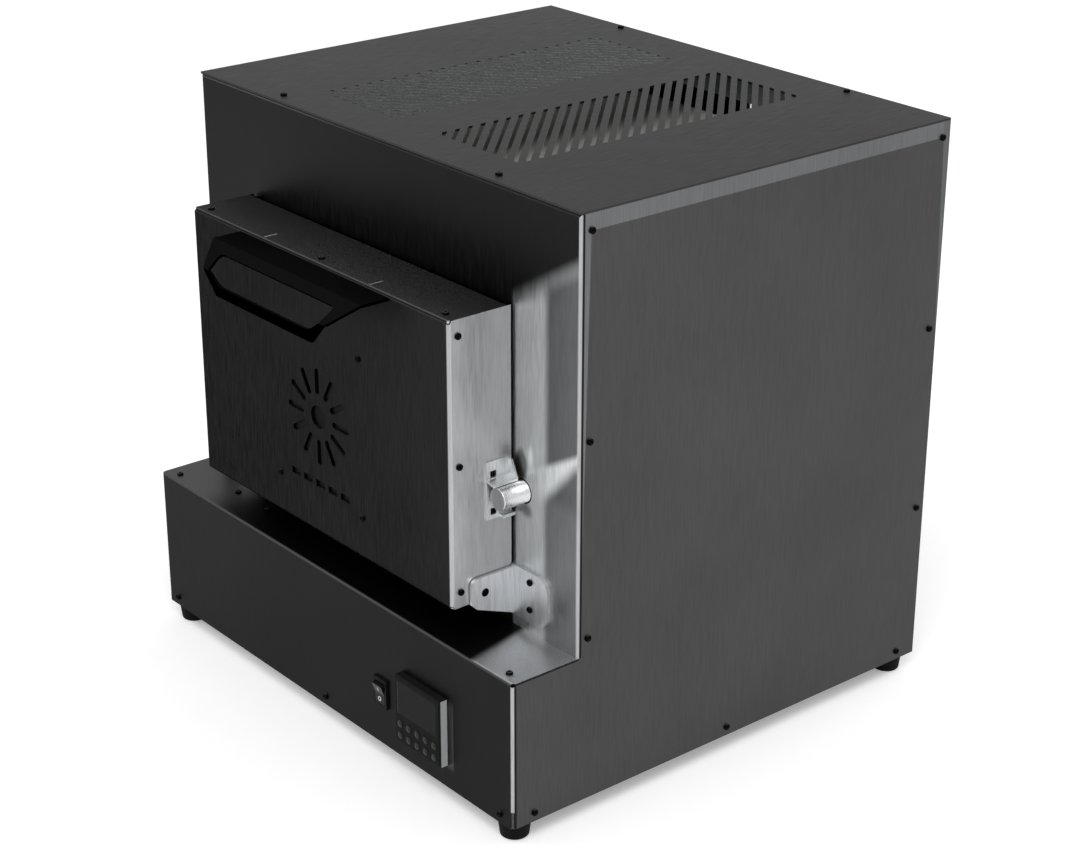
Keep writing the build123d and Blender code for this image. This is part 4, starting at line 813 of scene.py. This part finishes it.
class FORGE_OT_sheet_finishes(bpy.types.Operator):
    """Brushed steel for the sheets of the case and the door"""
    bl_idname = "forge.sheet_finishes"
    bl_label = "Sheet finishes"

    def execute(self, context):
        f = context.scene.forge_finishes
        # The folded margins of the side sheets catch more light than their middles.
        margins = [
            ("6a6c6d", ("past", UP, 392.6, 393.0)),
            ("6c6e6f", ("past", (0, -1, 0.021), 115.4, 115.9), ("past", UP, 150, 260)),
            ("606263", ("past", (0, 1, 0.0364), 207.4, 207.9), ("past", UP, 200, 300)),
        ]
        finish_nodes(["side_panel_right", "side_panel_left"],
                     brushed_sheet("brushed_steel_side", f.side, margins))
        # Beside the door the panel is light below a slanted edge, darker again near the case's side, and
        # brightest in a wedge behind the stud, with the shades of the door and the stud on it.
        lit_way = (0.504, 0, -0.864)
        lit_edge = 0.504 * 140 - 0.864 * 335
        below_edge = ("past", lit_way, lit_edge - 8, lit_edge + 8)
        bright_side = [("past", RIGHT, 138, 142), ("looks", FRONT)]
        # The margin near the case's side is painted darker, as painted shade.
        shaded_margin = [("past", RIGHT, 168, 176), ("looks", FRONT)]
        panel = [
            ("232323", ("past", RIGHT, -120, 20)),
            ("c2c4c5", below_edge, *bright_side),
            ("686a6b", below_edge, *shaded_margin),
            ("7a7c7d", ("past", (0, 0, -1), -222, -208), *shaded_margin),
            ("e4e6e7", ("past", (0.483, 0, -0.877), -127, -121), ("past", (-0.733, 0, 0.68), 15, 25),
             ("past", UP, 204, 224), *bright_side),
            ("e6e8e9", ("near", (157, -115.3, 237), (3.5, 30, 11), 0.8), *bright_side),
            ("6c6d6e", ("near", (148, -115.3, 229), (7.5, 30, 14), 0.5), *bright_side),
            ("7c7d7e", ("near", (153, -115.3, 200), (8, 30, 7), 0.8), *bright_side),
        ]
        finish_nodes(["front_panel"], brushed_sheet("brushed_steel_panel", f.front, panel))
        # The tread is painted dark under the door, as the door's shadow, and painted light at its right end.
        tread = ("past", UP, 115.4, 116.0), ("looks", UP)
        base = [
            ("242424", *tread),
            ("515151", *tread, ("past", LEFT, 112, 155)),
            ("c1c2c3", *tread, ("past", (0.976, 0.22, 0), 118, 125)),
            # A painted reflection of the controller's side lies on the front beside it.
            ("4c4d4e", ("boxed", (139.8, -167, 52), (3.6, 3, 27), 0.25), ("looks", FRONT)),
        ]
        # The dark notches at the cover's corners, where the folds meet, are painted black as painted shade.
        base_notch_shade = [
            ("near", (202.3, -166.6, 116.1), (2.4, 2.4, 2.4), 0.2),
            ("boxed", (202.5, -166.8, 13), (2.0, 2.0, 13), 0.1)]
        finish_nodes(["base_front_cover"], brushed_sheet("brushed_steel_base", f.front, base, base_notch_shade))
        finish_nodes(["top_cover"], brushed_sheet("brushed_steel_top", f.top, grain=(1, 16, 1)))
        # The door is painted with light and shade: a lighter top, a dark front, a painted shadow in black along
        # the gap at the rear of its top, and painted light on its right side and in the cut edges of its
        # pattern.
        door = [
            ("676767", ("looks", UP)),
            ("000000", ("past", BACK, -120.0, -119.6), ("looks", UP)),
            ("353535", ("looks", FRONT)),
            ("b9babb", ("past", RIGHT, 139.4, 140.3), ("looks", RIGHT)),
            ("c4c6c7", ("near", (0.5, -162.5, 231), (50, 4, 72), 0.1), ("past", BACK, -162.7, -162.3)),
        ]
        # A black spot at the door's top right corner is painted shade.
        door_corner_shade = [("near", (140.6, -164.8, 332.4), (2.6, 2.6, 2.6), 0.2)]
        finish_nodes(["door_shell"], brushed_sheet(
            "brushed_steel_door", f.front, door, door_corner_shade, level="1c1c1d", contrast=0.07, tint=0.1))
        # The back panel's and the pan's faces that look forward are painted near black, as painted shade inside
        # the case.
        finish_nodes(["back_panel", "base_pan"],
                     brushed_sheet("brushed_steel_back", f.side, [("0a0a0a", ("looks", FRONT))]))
        # The plate behind the door's cut pattern is near black, painted shade so that the cuts read dark.
        finish_nodes(["pattern_plate"], brushed_sheet("brushed_steel_pattern", "141414"))
        # The liner's rim is painted black, as painted shade.
        rim = [("past", UP, 330.2, 330.5)]
        finish_nodes(["door_liner"], brushed_sheet("brushed_steel_bright", f.bright, shade_spots=rim, tint=0.0))
        # A bracket's leaf, which looks forward, is painted darker than its ear as painted shade, and its cut
        # edge carries the brightest painted highlight; the bends are painted bright too.
        edges = [("cbcdcf", ("looks", FRONT)), ("f0f1f2", ("past", BACK, -117.9, -117.7), ("looks", RIGHT))]
        finish_nodes(["hinge_bracket_right", "hinge_bracket_left", "door_gussets"],
                     brushed_sheet("brushed_steel_brackets", "dcdddf", edges, upright="e6e8e9", level="dcdedf"))
        # The clip's bends are painted brighter than its face, as painted highlights.
        finish_nodes(["catch_clip"],
                     brushed_sheet("brushed_steel_clip", "dadcdd", upright="eceeef", level="f2f3f4"))
        finish_nodes(["door_pivots"], coated("black_oxide_pivots", "020202", "080808", specular=0.02))
        finish_nodes(["thermocouple"], turned_steel("turned_steel_sheath", "a9abad", "a9abad"))
        finish_nodes(["post_front_right", "post_front_left", "post_rear_right", "post_rear_left", "top_rails",
                      "step_rails", "chamber_deck"], zinc_plate("zinc_plated_steel", "aab0b2", "858b8f"))
        finish_nodes(["relay_heat_sink"], aluminium("extruded_aluminium", "a3a6a9"))
        return {"FINISHED"}


class FORGE_OT_lining_finishes(bpy.types.Operator):
    """Fire-brick, ceramic fibre and the kiln shelf of the chamber"""
    bl_idname = "forge.lining_finishes"
    bl_label = "Lining finishes"

    def execute(self, context):
        f = context.scene.forge_finishes
        finish_nodes(["brick_floor", "brick_roof", "brick_left", "brick_right", "brick_rear"],
                     fire_brick("insulating_fire_brick", f.brick, "a8977c", "cfa982"))
        # The blanket is painted darker under the left field of vents, as painted shade.
        left_vent_shade = [("4a4945", ("past", LEFT, -10, 25), ("looks", UP))]
        finish_nodes(["fibre_blanket"],
                     ceramic_fibre("ceramic_fibre_blanket", "f2f1ec", "d3d1c9", 1.2, 0.8, left_vent_shade))
        finish_nodes(["door_slab"], ceramic_fibre("ceramic_fibre_board", "ece9df", "d2ccbd", 0.8, 0.3))
        finish_nodes(["hearth_plate"], kiln_shelf("cordierite_shelf", "d9c6a8", "7d5f45"))
        finish_nodes(["element_terminals"], glazed_porcelain("glazed_porcelain", "f0ede4"))
        return {"FINISHED"}


class FORGE_OT_fitting_finishes(bpy.types.Operator):
    """Plastics, screws and the controller's window"""
    bl_idname = "forge.fitting_finishes"
    bl_label = "Fitting finishes"

    def execute(self, context):
        # The screws' upward faces are painted grey over their black, as painted light.
        lit_tops = [("3c3c3c", ("looks", UP))]
        finish_nodes(["case_screws", "hinge_screws", "foot_screws", "door_screws", "pattern_screws"],
                     coated("black_oxide_screws", "030303", "0b0b0c", 0.5, 0.5, 0.65, 0.03, lit_tops))
        finish_nodes(["switch_housing"], moulded("moulded_black_plastic", "161617", specular=0.05))
        finish_nodes(["power_inlet", "solid_state_relay"], moulded("moulded_black_nylon", "1a1a1b", 0.7))
        # The controller case's right side, near its front, carries a painted highlight.
        cheek = [("a8a9aa", ("looks", RIGHT), ("past", FRONT, 166.9, 167.2))]
        finish_nodes(["controller_body"],
                     moulded("moulded_controller_case", "1b1b1c", 0.6, specular=0.02, areas=cheek))
        finish_nodes(["rocker"], moulded("moulded_gloss_black", "151516", 0.8, 0.18, 0.28, 0.12))
        finish_nodes(["terminal_block"], moulded("moulded_ivory_plastic", "e2dccb", 0.6))
        finish_nodes(["controller_window"], smoked_acrylic("smoked_acrylic", "121212"))
        return {"FINISHED"}


SKY_LIGHT = 0.62
FLOOR_RADII, FLOOR_STEPS = (0.0, 1500.0, 6000.0, 20000.0), 96
LAMP_AIM = (0, 0, 0.2)
LAMPS = (
    ("key_light", (1.3, -1.2, 2.2), 1.4, 28.0),
    ("fill_light", (-1.8, -1.5, 1.4), 1.6, 12.0),
    ("rear_light", (0.4, 2.0, 1.8), 1.4, 12.0))
EYE, TARGET = (1.1768, -0.9502, 0.8236), (-0.01032, 0.0332, 0.15942)
LENS, ROLL = 78.28, 0.16


class FORGE_OT_studio(bpy.types.Operator):
    """The floor, the lights, the world and the camera"""
    bl_idname = "forge.studio"
    bl_label = "Studio"

    def execute(self, context):
        scene = context.scene
        angle = np.arange(FLOOR_STEPS) * 2 * np.pi / FLOOR_STEPS
        radii = np.array(FLOOR_RADII)[:, None]
        rings = np.stack([radii * np.cos(angle), radii * np.sin(angle), 0 * radii * angle], -1)
        faces = grid_faces(len(radii), FLOOR_STEPS, wrap_columns=True)
        floor = mesh_object("studio_floor", *fold_poles(faces, rings.reshape(-1, 3)))
        floor.data.materials.append(studio_floor("painted_floor", scene.forge_finishes.floor))

        world = bpy.data.worlds.new("studio_world")
        scene.world = world
        world.use_nodes = True
        tree = world.node_tree
        tree.nodes.clear()
        level = seen_rays(tree, SKY_LIGHT, 1.0)
        sky = add(tree, "Background", {"Color": (1, 1, 1, 1), "Strength": level})
        output = add(tree, "OutputWorld")
        tree.links.new(sky.outputs[0], output.inputs["Surface"])

        for name, place, size, power in LAMPS:
            lamp = bpy.data.lights.new(name, "AREA")
            lamp.shape = "SQUARE"
            lamp.size = size
            lamp.energy = power
            holder = bpy.data.objects.new(name, lamp)
            scene.collection.objects.link(holder)
            holder.location = place
            holder.rotation_mode = "QUATERNION"
            holder.rotation_quaternion = (Vector(LAMP_AIM) - Vector(place)).to_track_quat("-Z", "Y")

        lens = bpy.data.cameras.new("photo_camera")
        lens.sensor_fit = "HORIZONTAL"
        lens.sensor_width = 36.0
        lens.lens = LENS
        camera = bpy.data.objects.new("photo_camera", lens)
        scene.collection.objects.link(camera)
        camera.location = EYE
        camera.rotation_mode = "QUATERNION"
        roll = Quaternion((0, 0, 1), math.radians(ROLL))
        camera.rotation_quaternion = (Vector(TARGET) - Vector(EYE)).to_track_quat("-Z", "Y") @ roll
        scene.camera = camera
        scene.view_settings.view_transform = "Standard"
        return {"FINISHED"}


OPERATORS = (
    FORGE_OT_studio, FORGE_OT_handle, FORGE_OT_feet, FORGE_OT_keys, FORGE_OT_switch_marks, FORGE_OT_elements,
    FORGE_OT_stud, FORGE_OT_sheet_finishes, FORGE_OT_lining_finishes, FORGE_OT_fitting_finishes)


class FORGE_PT_pieces(bpy.types.Panel):
    """Lists the forge's pieces and settings"""
    bl_label = "Forge"
    bl_space_type = "VIEW_3D"
    bl_region_type = "UI"
    bl_category = "Forge"

    def draw(self, context):
        for operator in OPERATORS:
            self.layout.operator(operator.bl_idname)
        for group in (context.scene.forge_finishes, context.scene.forge_sizes):
            for name in group.__annotations__:
                self.layout.prop(group, name)


CLASSES = (ForgeFinishes, ForgeSizes) + OPERATORS + (FORGE_PT_pieces,)


def register():
    for one in CLASSES:
        bpy.utils.register_class(one)
    bpy.types.Scene.forge_finishes = bpy.props.PointerProperty(type=ForgeFinishes)
    bpy.types.Scene.forge_sizes = bpy.props.PointerProperty(type=ForgeSizes)


def unregister():
    del bpy.types.Scene.forge_finishes
    del bpy.types.Scene.forge_sizes
    for one in reversed(CLASSES):
        bpy.utils.unregister_class(one)


def main():
    """Registers the add-on and makes every piece in order."""
    register()
    for operator in OPERATORS:
        group, name = operator.bl_idname.split(".")
        getattr(getattr(bpy.ops, group), name)()


if __name__ == "__main__":
    main()
